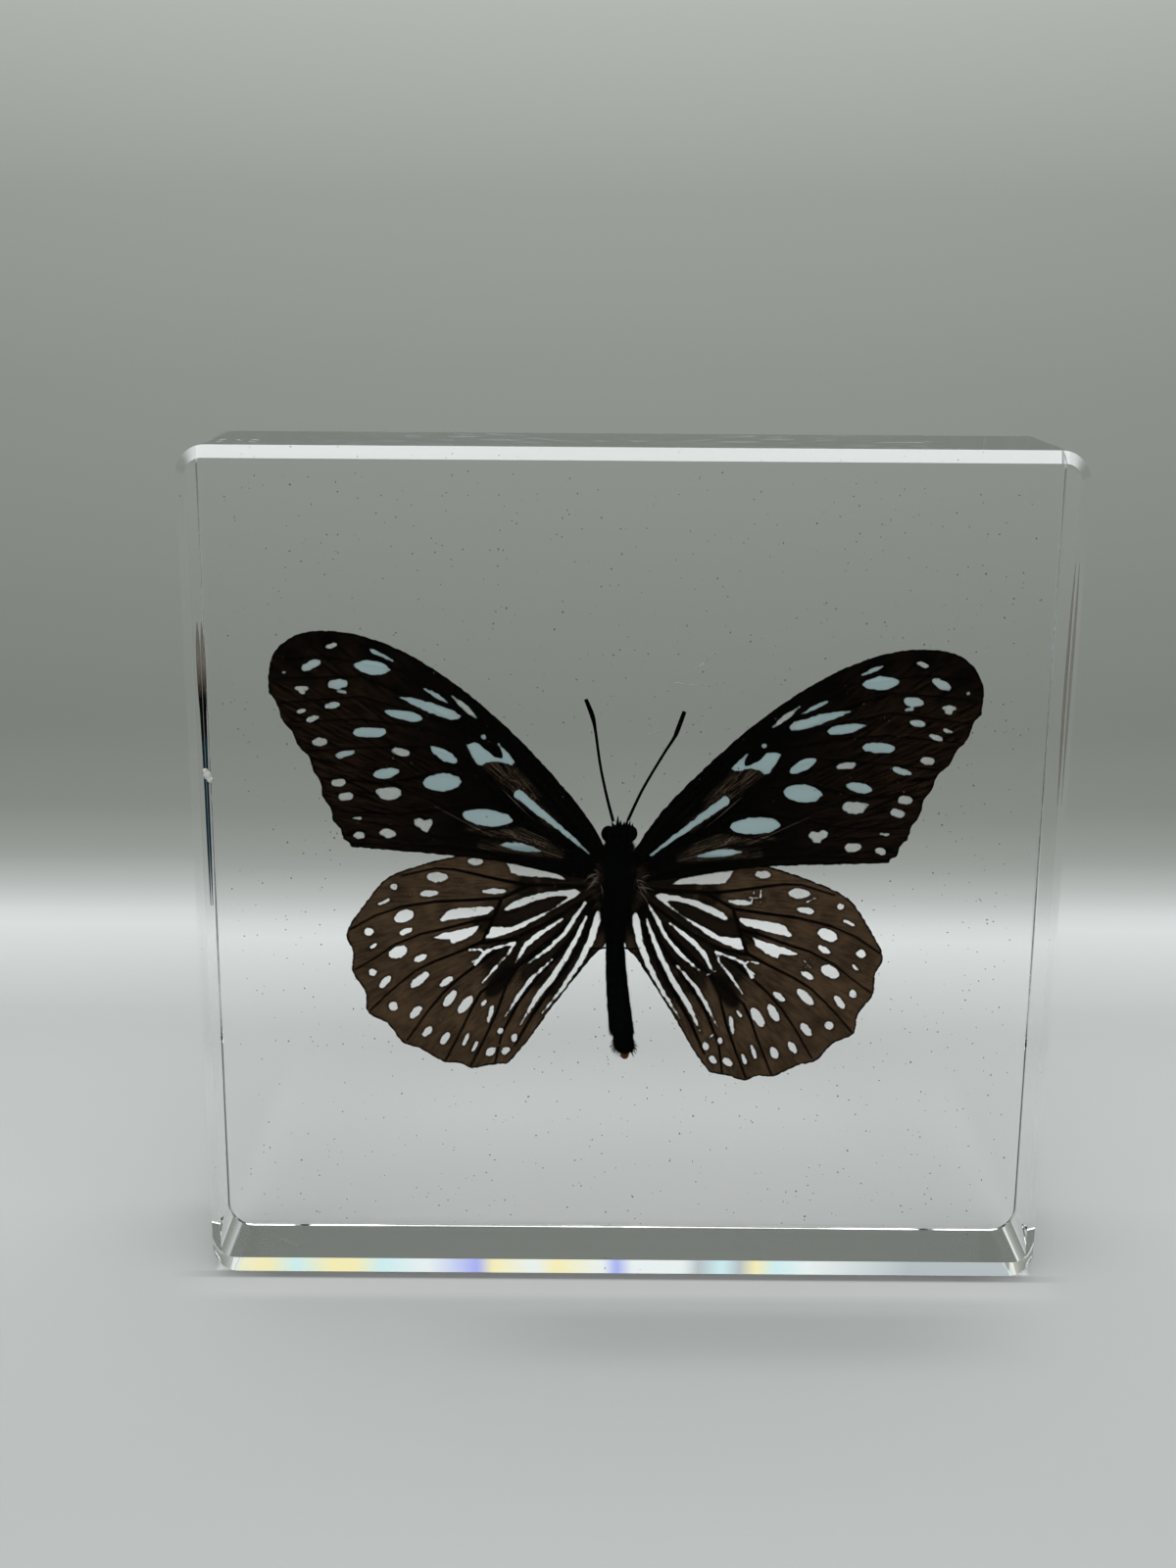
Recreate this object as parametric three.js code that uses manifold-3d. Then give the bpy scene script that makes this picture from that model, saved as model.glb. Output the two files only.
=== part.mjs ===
// A spread butterfly sealed in the middle of a clear cast block, which stands on its lower face.
// Millimetres, +Z up. The front, with the butterfly's upper side, looks along -Y.
// The origin is the middle of the bottom face. The block is parted in two at the butterfly's plane.
import * as THREE from 'three';
import { mergeVertices } from 'three/addons/utils/BufferGeometryUtils.js';
import Module from 'manifold-3d';

const wasm = await Module();
wasm.setup();

// The block: outside size, radius of its four corners and of its front and back edges
const BLOCK_WIDTH = 111.2;
const BLOCK_HEIGHT = 110.6;
const BLOCK_DEPTH = 22;
const CORNER_RADIUS = 3.5;
const FRONT_EDGE_RADIUS = 1.5;
const BACK_EDGE_RADIUS = 0.6;

// Gap between the halves and between pieces that meet, and the pocket's room around the insect
const GAP = 0.3;
const POCKET_ROOM = 0.5;

// The butterfly: its origin is between the forewings' roots, and it is turned a little clockwise
const BUTTERFLY_X = -0.95;
const BUTTERFLY_Z = 56.95;
const BUTTERFLY_TURN = THREE.MathUtils.degToRad(1.9);

// Wings: thickness, where each pair lies in depth, and how far one forewing is higher than the other
const WING_THICKNESS = 0.3;
const FOREWING_Y = -0.35;
const HINDWING_Y = 0.25;
const FOREWING_LIFT = THREE.MathUtils.degToRad(0.5);

// Right wing outlines in the butterfly's own frame: x outwards from the body, then z
const FOREWING = {
  costa: [[1.5, 0.5], [3.8, 4.5], [7, 8.7], [12.8, 14.9], [18, 19.6], [23, 23.4], [28.3, 26.5],
    [33.5, 28.4], [38, 29], [41.8, 28.5], [44.4, 26.8], [45.7, 24.2], [45.8, 21]],
  margin: [[45.8, 21], [43.2, 15.8], [40.3, 11.3], [38.5, 6.4], [36.6, 2.3], [35.2, 0.3]],
  inner: [[35.2, 0.3], [28, -0.1], [21, -0.5], [14.9, -1.2], [8.3, -2.5], [1.5, -3.6]],
  scallops: 7,
  scallopDepth: 0.18,
};
const HINDWING = {
  costa: [[1.2, -3.4], [7, 0.2], [14, 0.9], [21, -0.7], [26.7, -2.5], [30.7, -4.5], [33.8, -8.6]],
  margin: [[33.8, -8.6], [35.7, -12.1], [34.9, -14.8], [34.8, -17.7], [33.1, -20.4], [32.7, -23.3],
    [30, -24.9], [28, -27.4], [25.3, -28.4], [22.4, -30], [20.3, -30.1], [18.4, -30.8], [16, -30.2],
    [13.6, -29.9]],
  inner: [[13.6, -29.9], [11.2, -26.7], [8.3, -22], [5.8, -18.2], [2.8, -13.9], [1.2, -12], [1, -7]],
  scallops: 0,
  scallopDepth: 0,
};

// Body: swellings from head to thorax as [x, y, z, half width, half depth, half length]
const SWELLINGS = {
  head: [-0.2, -0.1, 3.3, 1.75, 1.6, 1.5],
  eyeLeft: [-1.5, -0.3, 3.1, 0.95, 1.1, 1.1],
  eyeRight: [1.15, -0.3, 3.25, 0.95, 1.1, 1.1],
  collar: [-0.05, 0, 1.3, 2, 1.8, 1.4],
  thorax: [0.35, 0, -3.2, 2.75, 2.6, 4.6],
  waist: [0.3, 0, -8.6, 1.9, 1.8, 3.4],
};
const PALPS = [[-0.45, 4.7], [0.35, 4.6]];
const PALP_RADIUS = 0.35;
const PALP_LENGTH = 1.5;
const PALP_Y = -0.5;

// Abdomen: a bent, ringed taper from the waist to the tail. A higher power keeps it full nearer its ends
const ABDOMEN = {
  top: -8, bottom: -27.9, radius: 1.42, taperPower: 8, rings: 8, ringDepth: 0.09, bend: 1.9, depthRatio: 0.92,
};

// Legs folded under the thorax, right side as [x, y, z]. The last pair reaches out past the waist
const LEGS = [
  [[0.9, 1.6, -1.2], [2.2, 2.9, -2.6], [1.1, 3.2, -5.4], [1.3, 3, -8.2]],
  [[0.9, 1.6, -4.4], [2.4, 2.9, -6.2], [0.9, 2.9, -9.6], [2.1, 1.3, -12.3], [2.9, 0.9, -12.5]],
];
const LEG_RADIUS = 0.2;
const LEG_MIDDLE_X = 0.1;

// Faces around and along each form: fine for the insect itself, plain for the room kept around it
const FINE = { ball: [12, 8], abdomenSides: 12, ringSteps: 3, rodSides: 6, rodSteps: 2 };
const PLAIN = { ball: [10, 7], abdomenSides: 8, ringSteps: 2, rodSides: 6, rodSteps: 2 };
const detail = (growth) => (growth > 0 ? PLAIN : FINE);

// Antennae: a thin shaft that ends in a club
const ANTENNA_Y = -0.7;
const ANTENNA_LEFT = [[-1.1, 5], [-2.1, 8.4], [-3.1, 12.5], [-3.9, 17], [-4.4, 19], [-5.3, 21.1]];
const ANTENNA_RIGHT = [[0.8, 5.2], [2.5, 9.4], [4.8, 13.9], [6.2, 16.4], [6.6, 17.4], [7.4, 20]];
const SHAFT_RADIUS = 0.15;
const CLUB_RADIUS = 0.3;
const CLUB_LENGTH = 3;
const CLUB_OVERHANG = 0.2;

const matt = (name, color, roughness) => new THREE.MeshStandardMaterial({ name, color, roughness });
const RESIN = new THREE.MeshStandardMaterial({
  name: 'clear_resin', color: 0xe6ece8, roughness: 0.05, metalness: 0, transparent: true, opacity: 0.25,
});
const FOREWING_SCALES = matt('forewing_scales', 0x17120f, 0.85);
const HINDWING_SCALES = matt('hindwing_scales', 0x43352a, 0.85);
const BODY_FUR = matt('body_fur', 0x090a0b, 0.9);
const ANTENNA_HORN = matt('antenna_horn', 0x14110f, 0.6);

// Points closer than this are one point
const MERGE_DISTANCE = 1e-5;

// Closed solids from shapes, and back to a mesh
function solid(geometry) {
  const bare = geometry.clone();
  bare.deleteAttribute('normal');
  bare.deleteAttribute('uv');
  const merged = mergeVertices(bare, MERGE_DISTANCE);
  return new wasm.Manifold(new wasm.Mesh({
    numProp: 3,
    vertProperties: new Float32Array(merged.attributes.position.array),
    triVerts: new Uint32Array(merged.index.array),
  }));
}

function meshOf(name, piece, material) {
  const { vertProperties, triVerts } = piece.getMesh();
  const geometry = new THREE.BufferGeometry();
  geometry.setAttribute('position', new THREE.BufferAttribute(new Float32Array(vertProperties), 3));
  geometry.setIndex(new THREE.BufferAttribute(new Uint32Array(triVerts), 1));
  geometry.computeVertexNormals();
  const mesh = new THREE.Mesh(geometry, material);
  mesh.name = name;
  return mesh;
}

const joined = (pieces) => pieces.reduce((sum, piece) => sum.add(piece));

// A flat outline of [x, z] points, made a slab between two depths
function slab(points, yFront, yBack) {
  const geometry = new THREE.ExtrudeGeometry(new THREE.Shape(points), {
    depth: yBack - yFront, bevelEnabled: false,
  });
  return solid(geometry.rotateX(Math.PI / 2).translate(0, yBack, 0));
}

// One wing's outline, anticlockwise from the front, as a closed list of points
function wingOutline(wing) {
  const spline = (list) => new THREE.SplineCurve(list.map(([x, z]) => new THREE.Vector2(x, z)));
  const costa = spline(wing.costa).getPoints(2 * (wing.costa.length - 1));
  const inner = spline(wing.inner).getPoints(2 * (wing.inner.length - 1));
  const margin = spline(wing.margin);
  const steps = Math.max(2 * (wing.margin.length - 1), 4 * wing.scallops);
  const edge = [];
  for (let i = 1; i < steps; i += 1) {
    const t = i / steps;
    const along = margin.getTangent(t);
    const wave = wing.scallopDepth * Math.cos(2 * Math.PI * wing.scallops * t);
    edge.push(margin.getPoint(t).add(new THREE.Vector2(-along.y, along.x).multiplyScalar(wave)));
  }
  return [...costa, ...edge, ...inner].reverse();
}

// The same outline moved outwards by a distance, for the pocket around a wing
function grown(points, distance) {
  const kept = points.filter((p, i) => p.distanceTo(points[(i + 1) % points.length]) > MERGE_DISTANCE);
  return kept.map((p, i) => {
    const before = kept[(i + kept.length - 1) % kept.length];
    const after = kept[(i + 1) % kept.length];
    const along = after.clone().sub(before).normalize();
    return new THREE.Vector2(p.x + along.y * distance, p.y - along.x * distance);
  });
}

const mirrored = (points) => points.map((p) => new THREE.Vector2(-p.x, p.y)).reverse();

// A wing slab: side is 1 for the right wing and -1 for the left, and growth is the pocket's room
function wingSlab(wing, y, side, lift, growth = 0) {
  const outline = side > 0 ? wingOutline(wing) : mirrored(wingOutline(wing));
  const edge = growth > 0 ? grown(outline, growth) : outline;
  const half = WING_THICKNESS / 2 + growth;
  return slab(edge, y - half, y + half).rotate([0, THREE.MathUtils.radToDeg(-side * lift), 0]);
}

function swelling([x, y, z, halfWidth, halfDepth, halfLength], growth = 0) {
  const ball = new THREE.SphereGeometry(1, ...detail(growth).ball).rotateX(Math.PI / 2);
  ball.scale(halfWidth + growth, halfDepth + growth, halfLength + growth);
  return solid(ball.translate(x, y, z));
}

function palp([x, z], growth = 0) {
  const cone = new THREE.ConeGeometry(PALP_RADIUS + growth, PALP_LENGTH + 2 * growth, 5);
  return solid(cone.rotateX(Math.PI / 2).translate(x, PALP_Y, z + PALP_LENGTH / 4));
}

// The abdomen is turned about its own axis, with one bulge a ring, then bent sideways
function abdomen(growth = 0) {
  const { top, bottom, radius, taperPower, rings, ringDepth, bend, depthRatio } = ABDOMEN;
  const length = top - bottom;
  const profile = [];
  const steps = rings * detail(growth).ringSteps;
  for (let i = 0; i <= steps; i += 1) {
    const t = i / steps;
    const taper = Math.sqrt(Math.max(0, 1 - (2 * t - 1) ** taperPower));
    const ring = ringDepth * Math.abs(Math.sin(Math.PI * rings * t));
    const r = i === 0 || i === steps ? 0 : (radius - ringDepth + ring) * taper + growth;
    profile.push(new THREE.Vector2(r, bottom - growth + t * (length + 2 * growth)));
  }
  const turned = new THREE.LatheGeometry(profile, detail(growth).abdomenSides);
  turned.rotateX(Math.PI / 2).scale(1, depthRatio, 1);
  const points = turned.attributes.position;
  for (let i = 0; i < points.count; i += 1) {
    const down = (top - points.getZ(i)) / length;
    points.setX(i, points.getX(i) + bend * down * Math.abs(down));
  }
  return solid(turned);
}

function rod(points, radius, growth) {
  const path = new THREE.CatmullRomCurve3(points.map((p) => new THREE.Vector3(...p)));
  const { rodSides, rodSteps } = detail(growth);
  const ring = [];
  for (let i = 0; i < rodSides; i += 1) {
    const angle = (2 * Math.PI * i) / rodSides;
    ring.push(new THREE.Vector2(Math.cos(angle), Math.sin(angle)).multiplyScalar(radius + growth));
  }
  return solid(new THREE.ExtrudeGeometry(new THREE.Shape(ring), {
    steps: rodSteps * (points.length - 1), extrudePath: path, bevelEnabled: false,
  }));
}

function legs(growth = 0) {
  const right = LEGS.map((leg) => rod(leg, LEG_RADIUS, growth));
  const mirroredLeg = (leg) => leg.map(([x, y, z]) => [2 * LEG_MIDDLE_X - x, y, z]);
  const left = LEGS.map((leg) => rod(mirroredLeg(leg), LEG_RADIUS, growth));
  return joined([...right, ...left]);
}

// Head, thorax, abdomen, palps and legs grew as one body
function body(growth = 0) {
  return joined([
    ...Object.values(SWELLINGS).map((part) => swelling(part, growth)),
    ...PALPS.map((place) => palp(place, growth)),
    abdomen(growth),
    legs(growth),
  ]);
}

function antenna(places, growth = 0) {
  const points = places.map(([x, z]) => [x, ANTENNA_Y, z]);
  const [tip, before] = [points.at(-1), points.at(-2)].map((p) => new THREE.Vector3(...p));
  const along = tip.clone().sub(before).normalize();
  const club = new THREE.SphereGeometry(1, 8, 6);
  club.scale(CLUB_RADIUS + growth, CLUB_LENGTH / 2 + growth, CLUB_RADIUS + growth);
  club.applyQuaternion(new THREE.Quaternion().setFromUnitVectors(new THREE.Vector3(0, 1, 0), along));
  const centre = tip.clone().addScaledVector(along, CLUB_OVERHANG - CLUB_LENGTH / 2);
  return rod(points, SHAFT_RADIUS, growth).add(solid(club.translate(centre.x, centre.y, centre.z)));
}

// The insect's pieces, each clear of the body by the gap
const bodyRoom = body(GAP);
const insect = [
  ['butterfly_body', body(), BODY_FUR],
  ['forewing_left', wingSlab(FOREWING, FOREWING_Y, -1, -FOREWING_LIFT).subtract(bodyRoom), FOREWING_SCALES],
  ['forewing_right', wingSlab(FOREWING, FOREWING_Y, 1, FOREWING_LIFT).subtract(bodyRoom), FOREWING_SCALES],
  ['hindwing_left', wingSlab(HINDWING, HINDWING_Y, -1, 0).subtract(bodyRoom), HINDWING_SCALES],
  ['hindwing_right', wingSlab(HINDWING, HINDWING_Y, 1, 0).subtract(bodyRoom), HINDWING_SCALES],
  ['antenna_left', antenna(ANTENNA_LEFT).subtract(bodyRoom), ANTENNA_HORN],
  ['antenna_right', antenna(ANTENNA_RIGHT).subtract(bodyRoom), ANTENNA_HORN],
];

// The pocket that holds them, in the butterfly's frame and then in the block's
const pocket = joined([
  body(POCKET_ROOM),
  wingSlab(FOREWING, FOREWING_Y, -1, -FOREWING_LIFT, POCKET_ROOM),
  wingSlab(FOREWING, FOREWING_Y, 1, FOREWING_LIFT, POCKET_ROOM),
  wingSlab(HINDWING, HINDWING_Y, -1, 0, POCKET_ROOM),
  wingSlab(HINDWING, HINDWING_Y, 1, 0, POCKET_ROOM),
  antenna(ANTENNA_LEFT, POCKET_ROOM),
  antenna(ANTENNA_RIGHT, POCKET_ROOM),
]).rotate([0, THREE.MathUtils.radToDeg(BUTTERFLY_TURN), 0]).translate([BUTTERFLY_X, 0, BUTTERFLY_Z]);

// A whole block: a square with round corners, its front and back edges rounded over
function block(edgeRadius) {
  const [x, r] = [BLOCK_WIDTH / 2, CORNER_RADIUS];
  const outline = new THREE.Shape();
  outline.absarc(x - r, BLOCK_HEIGHT - r, r, 0, Math.PI / 2);
  outline.absarc(-x + r, BLOCK_HEIGHT - r, r, Math.PI / 2, Math.PI);
  outline.absarc(-x + r, r, r, Math.PI, 1.5 * Math.PI);
  outline.absarc(x - r, r, r, 1.5 * Math.PI, 2 * Math.PI);
  outline.closePath();
  const geometry = new THREE.ExtrudeGeometry(outline, {
    depth: BLOCK_DEPTH - 2 * edgeRadius, curveSegments: 6,
    bevelThickness: edgeRadius, bevelSize: edgeRadius, bevelOffset: -edgeRadius, bevelSegments: 3,
  });
  return solid(geometry.rotateX(Math.PI / 2).translate(0, BLOCK_DEPTH / 2 - edgeRadius, 0));
}

// One half: what lies on one side of the parting, less the pocket. Side is -1 for the front half
function half(side, edgeRadius) {
  const room = new THREE.BoxGeometry(2 * BLOCK_WIDTH, BLOCK_DEPTH, 3 * BLOCK_HEIGHT);
  const keep = solid(room.translate(0, side * (BLOCK_DEPTH / 2 + GAP / 2), 0));
  return block(edgeRadius).intersect(keep).subtract(pocket);
}

const specimen = new THREE.Group();
const butterfly = new THREE.Group();
butterfly.position.set(BUTTERFLY_X, 0, BUTTERFLY_Z);
butterfly.rotation.y = BUTTERFLY_TURN;
insect.forEach(([name, piece, material]) => butterfly.add(meshOf(name, piece, material)));
specimen.add(butterfly);

specimen.add(meshOf('resin_block_front', half(-1, FRONT_EDGE_RADIUS), RESIN));
specimen.add(meshOf('resin_block_back', half(1, BACK_EDGE_RADIUS), RESIN));

export default specimen;
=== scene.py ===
"""A spread butterfly sealed in a clear cast block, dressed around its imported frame.

Settings are in metres. The lists of places on the insect are in millimetres, in its own frame:
x outwards from the middle of the body, z along the body towards the head, y into the block.
"""

import math
import random

import bmesh
import bpy
import numpy as np
from bpy.props import FloatProperty, FloatVectorProperty, IntProperty, PointerProperty
from mathutils import Matrix, Vector


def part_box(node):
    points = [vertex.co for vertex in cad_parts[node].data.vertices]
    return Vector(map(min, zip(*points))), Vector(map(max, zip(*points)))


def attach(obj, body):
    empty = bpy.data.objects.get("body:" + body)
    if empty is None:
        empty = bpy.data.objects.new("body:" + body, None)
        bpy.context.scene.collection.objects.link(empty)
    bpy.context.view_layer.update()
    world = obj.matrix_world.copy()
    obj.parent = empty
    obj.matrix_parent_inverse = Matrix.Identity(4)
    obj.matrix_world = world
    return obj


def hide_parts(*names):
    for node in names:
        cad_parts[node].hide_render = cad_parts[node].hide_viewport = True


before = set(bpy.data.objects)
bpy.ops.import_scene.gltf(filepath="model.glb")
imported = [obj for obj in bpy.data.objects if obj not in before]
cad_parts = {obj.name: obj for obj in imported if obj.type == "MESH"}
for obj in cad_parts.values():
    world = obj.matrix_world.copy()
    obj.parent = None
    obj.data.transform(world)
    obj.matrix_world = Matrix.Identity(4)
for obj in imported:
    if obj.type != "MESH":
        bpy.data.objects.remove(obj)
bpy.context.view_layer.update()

bl_info = {
    "name": "Butterfly in a Clear Block",
    "version": (1, 0, 0),
    "blender": (4, 5, 0),
    "location": "3D View > Sidebar > Specimen",
    "description": "Models and finishes a spread butterfly sealed in a clear cast block",
    "category": "Object",
}

MM = 0.001

# The insect's place in the block, and how far one forewing is higher than the other
INSECT_X, INSECT_Z = -0.95, 56.95
INSECT_TURN = math.radians(1.9)
FOREWING_LIFT = math.radians(0.5)
HINDWING_DROP = math.radians(0.4)
WING_ROOT = (0.0, -3.0)

# Right wing outlines
FOREWING_OUTLINE = {
    "costa": [(1.5, 0.5), (3.8, 4.5), (7, 8.7), (12.8, 14.9), (18, 19.6), (23, 23.4), (28.3, 26.5),
              (33.5, 28.4), (38, 29), (41.8, 28.5), (44.4, 26.8), (45.7, 24.2), (45.8, 21)],
    "margin": [(45.8, 21), (43.2, 15.8), (40.3, 11.3), (38.5, 6.4), (36.6, 2.3), (35.2, 0.3)],
    "inner": [(35.2, 0.3), (28, -0.1), (21, -0.5), (14.9, -1.2), (8.3, -2.5), (1.5, -3.6)],
    "scallops": 7, "scallop_depth": 0.18,
}
HINDWING_OUTLINE = {
    "costa": [(1.2, -3.4), (7, 0.2), (14, 0.9), (21, -0.7), (26.7, -2.5), (30.7, -4.5), (33.8, -8.6)],
    "margin": [(33.8, -8.6), (35.7, -12.1), (34.9, -14.8), (34.8, -17.7), (33.1, -20.4),
               (32.7, -23.3), (30, -24.9), (28, -27.4), (25.3, -28.4), (22.4, -30), (20.3, -30.1),
               (18.4, -30.8), (16, -30.2), (13.6, -29.9)],
    "inner": [(13.6, -29.9), (11.2, -26.7), (8.3, -22), (5.8, -18.2), (2.8, -13.9), (1.2, -12), (1, -7)],
    "scallops": 0, "scallop_depth": 0.0,
}


# Outlines and marks, as arrays of places in the insect's frame

def spline(points, steps):
    """A smooth curve through points, with a number of steps between each two."""
    p = np.array(points, float)
    p = np.vstack((p[:1], p, p[-1:]))
    t = np.linspace(0, 1, steps, endpoint=False)[:, None]
    spans = []
    for a, b, c, d in zip(p, p[1:], p[2:], p[3:]):
        pull_b, pull_c = (c - a) / 2, (d - b) / 2
        spans.append(b + pull_b * t + (3 * (c - b) - 2 * pull_b - pull_c) * t**2
                     + (2 * (b - c) + pull_b + pull_c) * t**3)
    return np.vstack((*spans, p[-1:]))


def wing_outline(wing):
    """The closed outline of a right wing: leading edge, scalloped margin and inner edge."""
    margin = spline(wing["margin"], 40)
    along = np.gradient(margin, axis=0)
    along /= np.linalg.norm(along, axis=1)[:, None]
    t = np.linspace(0, 1, len(margin))[:, None]
    wave = wing["scallop_depth"] * np.cos(2 * math.pi * wing["scallops"] * t)
    margin += np.stack((-along[:, 1], along[:, 0]), 1) * wave
    outline = np.vstack((spline(wing["costa"], 12), margin, spline(wing["inner"], 12)))
    step = np.linalg.norm(outline - np.roll(outline, 1, axis=0), axis=1)
    return outline[step > 1e-3]


def oval(x, z, length, width, tilt=0, ends=0.5, lean=0.0):
    """A spot: ends of 0.5 is an ellipse, 1 is a lens and 0.3 is blunt. Lean moves its belly out."""
    t = np.linspace(-1, 1, 17)
    along = length / 2 * (t + lean * (1 - t * t))
    half = width / 2 * (1 - t * t) ** ends
    upper, lower = np.stack((along, half), 1), np.stack((along, -half), 1)
    ring = np.vstack((upper, lower[-2:0:-1]))
    c, s = math.cos(math.radians(tilt)), math.sin(math.radians(tilt))
    return ring @ np.array([[c, s], [-s, c]]) + (x, z)


def patch(*corners):
    """A patch with a drawn outline."""
    return np.array(corners, float)


def stroke(*points):
    """A streak through places given as (x, z, width)."""
    return ("stroke", np.array(points, float))


def depth_in_ring(places, ring):
    """How far each place lies inside a closed outline, negative outside."""
    a, b = ring, np.roll(ring, -1, axis=0)
    ab = b - a
    ap = places[:, None, :] - a[None]
    t = np.clip((ap * ab).sum(2) / (ab * ab).sum(1), 0, 1)
    gap = np.linalg.norm(ap - t[:, :, None] * ab, axis=2).min(1)
    rise = np.where(ab[:, 1] == 0, 1e-12, ab[:, 1])
    crosses = ((a[:, 1] > places[:, 1:]) != (b[:, 1] > places[:, 1:])) & (
        ap[:, :, 0] < ab[:, 0] * ap[:, :, 1] / rise)
    return np.where(crosses.sum(1) % 2 == 1, gap, -gap)


def depth_in_stroke(places, points):
    """How far each place lies inside a streak that changes width, negative outside."""
    best = np.full(len(places), -1e3)
    for (ax, az, aw), (bx, bz, bw) in zip(points, points[1:]):
        ab = np.array((bx - ax, bz - az))
        ap = places - (ax, az)
        t = np.clip(ap @ ab / (ab @ ab), 0, 1)
        gap = np.linalg.norm(ap - t[:, None] * ab, axis=1)
        best = np.maximum(best, (aw + (bw - aw) * t) / 2 - gap)
    return best


MARK_REACH = 1.0  # distances to a mark or vein are kept up to this far


def depth_in(places, marks):
    """How far each place lies inside the nearest of the marks, within the marks' reach."""
    best = np.full(len(places), -MARK_REACH)
    for mark in marks:
        is_stroke = isinstance(mark, tuple)
        shape = mark[1] if is_stroke else mark
        wide = shape[:, 2].max() / 2 if is_stroke else 0
        low, high = shape[:, :2].min(0) - MARK_REACH - wide, shape[:, :2].max(0) + MARK_REACH + wide
        near = ((places > low) & (places < high)).all(1)
        if near.any():
            found = (depth_in_stroke if is_stroke else depth_in_ring)(places[near], shape)
            best[near] = np.maximum(best[near], found)
    return best


# Pale marks on the forewing
FOREWING_MARKS = [
    # the row inside the margin, from the tip down
    oval(37.7, 27.0, 1.5, 0.5, -19), oval(40.3, 24.5, 2.7, 1.0, -26), oval(41.5, 21.4, 1.8, 0.6, -2),
    oval(41.5, 20.9, 0.9, 0.45), oval(41.6, 18.4, 1.1, 0.5, -19), oval(40.1, 17.5, 1.8, 0.65, -19),
    oval(39.2, 14.4, 1.9, 1.0, -6), oval(36.8, 9.0, 1.9, 1.0, -7, 0.35), oval(35.9, 7.2, 1.9, 1.0, -11, 0.35),
    oval(34.4, 4.3, 1.1, 0.35), oval(34.1, 2.0, 1.5, 0.85, -11), oval(43.8, 23.4, 0.4, 0.35),
    # the second row
    oval(36.9, 22.1, 2.6, 1.2, -8), oval(36.4, 21.1, 1.2, 0.35, 4), oval(37.6, 19.3, 2.0, 0.75, -9),
    oval(36.0, 12.9, 2.6, 0.75, -15, 0.35), oval(30.4, 2.4, 2.2, 1.15, 6),
    # the tip's big lens with its fleck, and the long marks behind the leading edge
    oval(32.5, 24.4, 4.7, 1.75, 6, 0.8), stroke((30.0, 25.4, 0.15), (31.2, 26.0, 0.5), (32.6, 26.6, 0.3)),
    oval(28.5, 18.3, 4.9, 1.25, 11, 0.7, -0.25),
    patch((28.9, 20.6), (27.6, 20.6), (24.4, 19.9), (21.8, 18.9), (21.2, 18.4), (21.4, 17.9), (22.4, 17.9),
          (25.0, 18.7), (27.4, 19.8)),
    stroke((22.8, 20.1, 0.1), (24.2, 20.9, 0.5), (25.8, 21.8, 0.25)),
    stroke((19.1, 18.2, 0.15), (20.6, 19.5, 0.75), (22.3, 21.0, 0.15)),
    # between the rows
    oval(32.8, 15.9, 4.3, 1.35, -3, 0.45), oval(28.8, 13.4, 2.5, 0.95, 12),
    oval(30.7, 10.5, 3.5, 1.3, -12, 0.7),
    patch((32.0, 8.2), (31.4, 8.5), (29.6, 8.6), (28.8, 8.3), (28.7, 7.7), (29.4, 7.1), (30.4, 6.9),
          (31.3, 7.1)),
    oval(23.2, 13.2, 3.9, 1.35, 30, 0.6), oval(23.4, 9.5, 5.0, 2.3, -4, 0.55),
    patch((24.8, 4.6), (25.6, 4.2), (26.4, 4.6), (27.0, 4.3), (26.9, 3.7), (26.2, 3.3), (26.0, 2.9),
          (25.3, 2.8), (25.0, 3.3), (24.6, 3.7)),
    oval(17.5, 4.95, 6.6, 2.2, 5, 0.55),
    # the cell: its end mark, the long wedge, and the streak above the inner edge
    patch((20.3, 14.6), (19.3, 14.9), (18.5, 14.6), (17.6, 13.8), (16.7, 13.1), (15.7, 12.9), (15.5, 13.4),
          (16.2, 14.9), (14.9, 13.6), (14.1, 12.6), (14.4, 12.1), (15.2, 12.3), (15.8, 12.5), (16.8, 12.6),
          (17.7, 12.4), (18.3, 11.9), (18.9, 12.1), (19.6, 13.2)),
    stroke((4.1, 0.5, 0.15), (7.0, 3.0, 0.55), (10.6, 5.9, 0.95), (13.4, 8.2, 1.2)),
    patch((15.9, 1.3), (15.0, 1.6), (13.0, 1.6), (11.4, 1.1), (10.0, 0.55), (12.0, 0.45), (14.0, 0.7)),
    oval(18.1, 15.7, 0.6, 0.5),
]

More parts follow.
